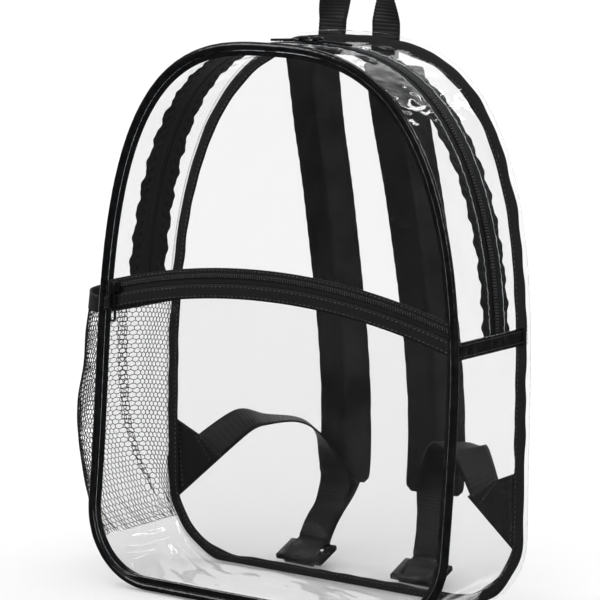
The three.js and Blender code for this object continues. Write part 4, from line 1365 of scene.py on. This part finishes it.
# %% Floor, lights and world
def add_light(name, place, target, size, power):
    lamp = bpy.data.lights.new(name, "AREA")
    lamp.shape = "RECTANGLE"
    lamp.size, lamp.size_y = size
    lamp.energy = power
    holder = bpy.data.objects.new(name, lamp)
    holder.visible_diffuse = False
    toward = Vector(target) - Vector(place)
    holder.matrix_world = Matrix.Translation(place) @ toward.to_track_quat("-Z", "Y").to_matrix().to_4x4()
    bpy.context.scene.collection.objects.link(holder)


bm = bmesh.new()
bmesh.ops.create_grid(bm, x_segments=1, y_segments=1, size=6)
floor = new_object("floor", bm)
paint, _, paint_shader = new_material("matt_white_floor", 0.9)
paint_shader.inputs["Base Color"].default_value = linear("#FAFAFA")
paint_shader.inputs["Specular IOR Level"].default_value = 0
floor.data.materials.append(paint)
floor.location.z = -0.0005
floor.visible_glossy = False
floor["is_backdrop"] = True

add_light("key", (-1.4, -1.6, 1.9), (0, 0, 0.25), (1.2, 1.6), 30)
add_light("fill", (1.9, -1.0, 1.2), (0, 0, 0.25), (0.5, 1.6), 14)
add_light("top", (0, 0.8, 2.4), (0, 0, 0.2), (1.6, 0.8), 22)
add_light("rear_strip", (0.5, 2.2, 1.5), (0, 0, 0.3), (0.1, 1.1), 3)
AWAY = (-math.sin(AZIMUTH), math.cos(AZIMUTH), 0)
PALE_WALL, DARK_ROOM = 1.3, 0.02
ROOM_LIGHT, BACKDROP = 1.13, 1.02
world = bpy.data.worlds.new("studio")
world.use_nodes = True
sky = world.node_tree
room = sky.nodes["Background"]
room.inputs["Color"].default_value = linear("#FFFFFF")
rays = node(sky, "ShaderNodeLightPath").outputs
way = node(sky, "ShaderNodeTexCoord").outputs["Generated"]
height = node(sky, "ShaderNodeSeparateXYZ", {"Vector": way}).outputs["Z"]
ahead = node(sky, "ShaderNodeVectorMath", {0: way, 1: AWAY}, operation="DOT_PRODUCT").outputs["Value"]
behind = node(sky, "ShaderNodeMapRange", {
    "Value": ahead, "From Min": 0.6, "From Max": 0.85,
}).outputs["Result"]
low = node(sky, "ShaderNodeMapRange", {
    "Value": height, "From Min": 0.95, "From Max": 0.75,
}).outputs["Result"]
wall = node(sky, "ShaderNodeMath", {0: low, 1: behind}, operation="MULTIPLY").outputs["Value"]
mirrored = node(sky, "ShaderNodeMath", {
    0: wall, 1: PALE_WALL, 2: DARK_ROOM,
}, operation="MULTIPLY_ADD").outputs["Value"]
plain = node(sky, "ShaderNodeMapRange", {
    "Value": rays["Is Camera Ray"], "To Min": ROOM_LIGHT, "To Max": BACKDROP,
}).outputs["Result"]
strength = node(sky, "ShaderNodeMapRange", {
    "Value": rays["Is Glossy Ray"], "To Min": plain, "To Max": mirrored,
})
sky.links.new(strength.outputs["Result"], room.inputs["Strength"])
bpy.context.scene.world = world
bpy.context.scene.view_settings.view_transform = "Standard"
bpy.context.scene.cycles.transparent_max_bounces = 48
print("lamps:", len(bpy.data.lights))

# %% [markdown]
# ## Check of the sizes
# The box of the finished pieces is compared with the imported model's box.

# %% Sizes
seen_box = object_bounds()
for axis, label in enumerate("xyz"):
    low_gap = seen_box[0][axis] - cad_box[0][axis]
    high_gap = seen_box[1][axis] - cad_box[1][axis]
    print(label, round(low_gap, 4), round(high_gap, 4))
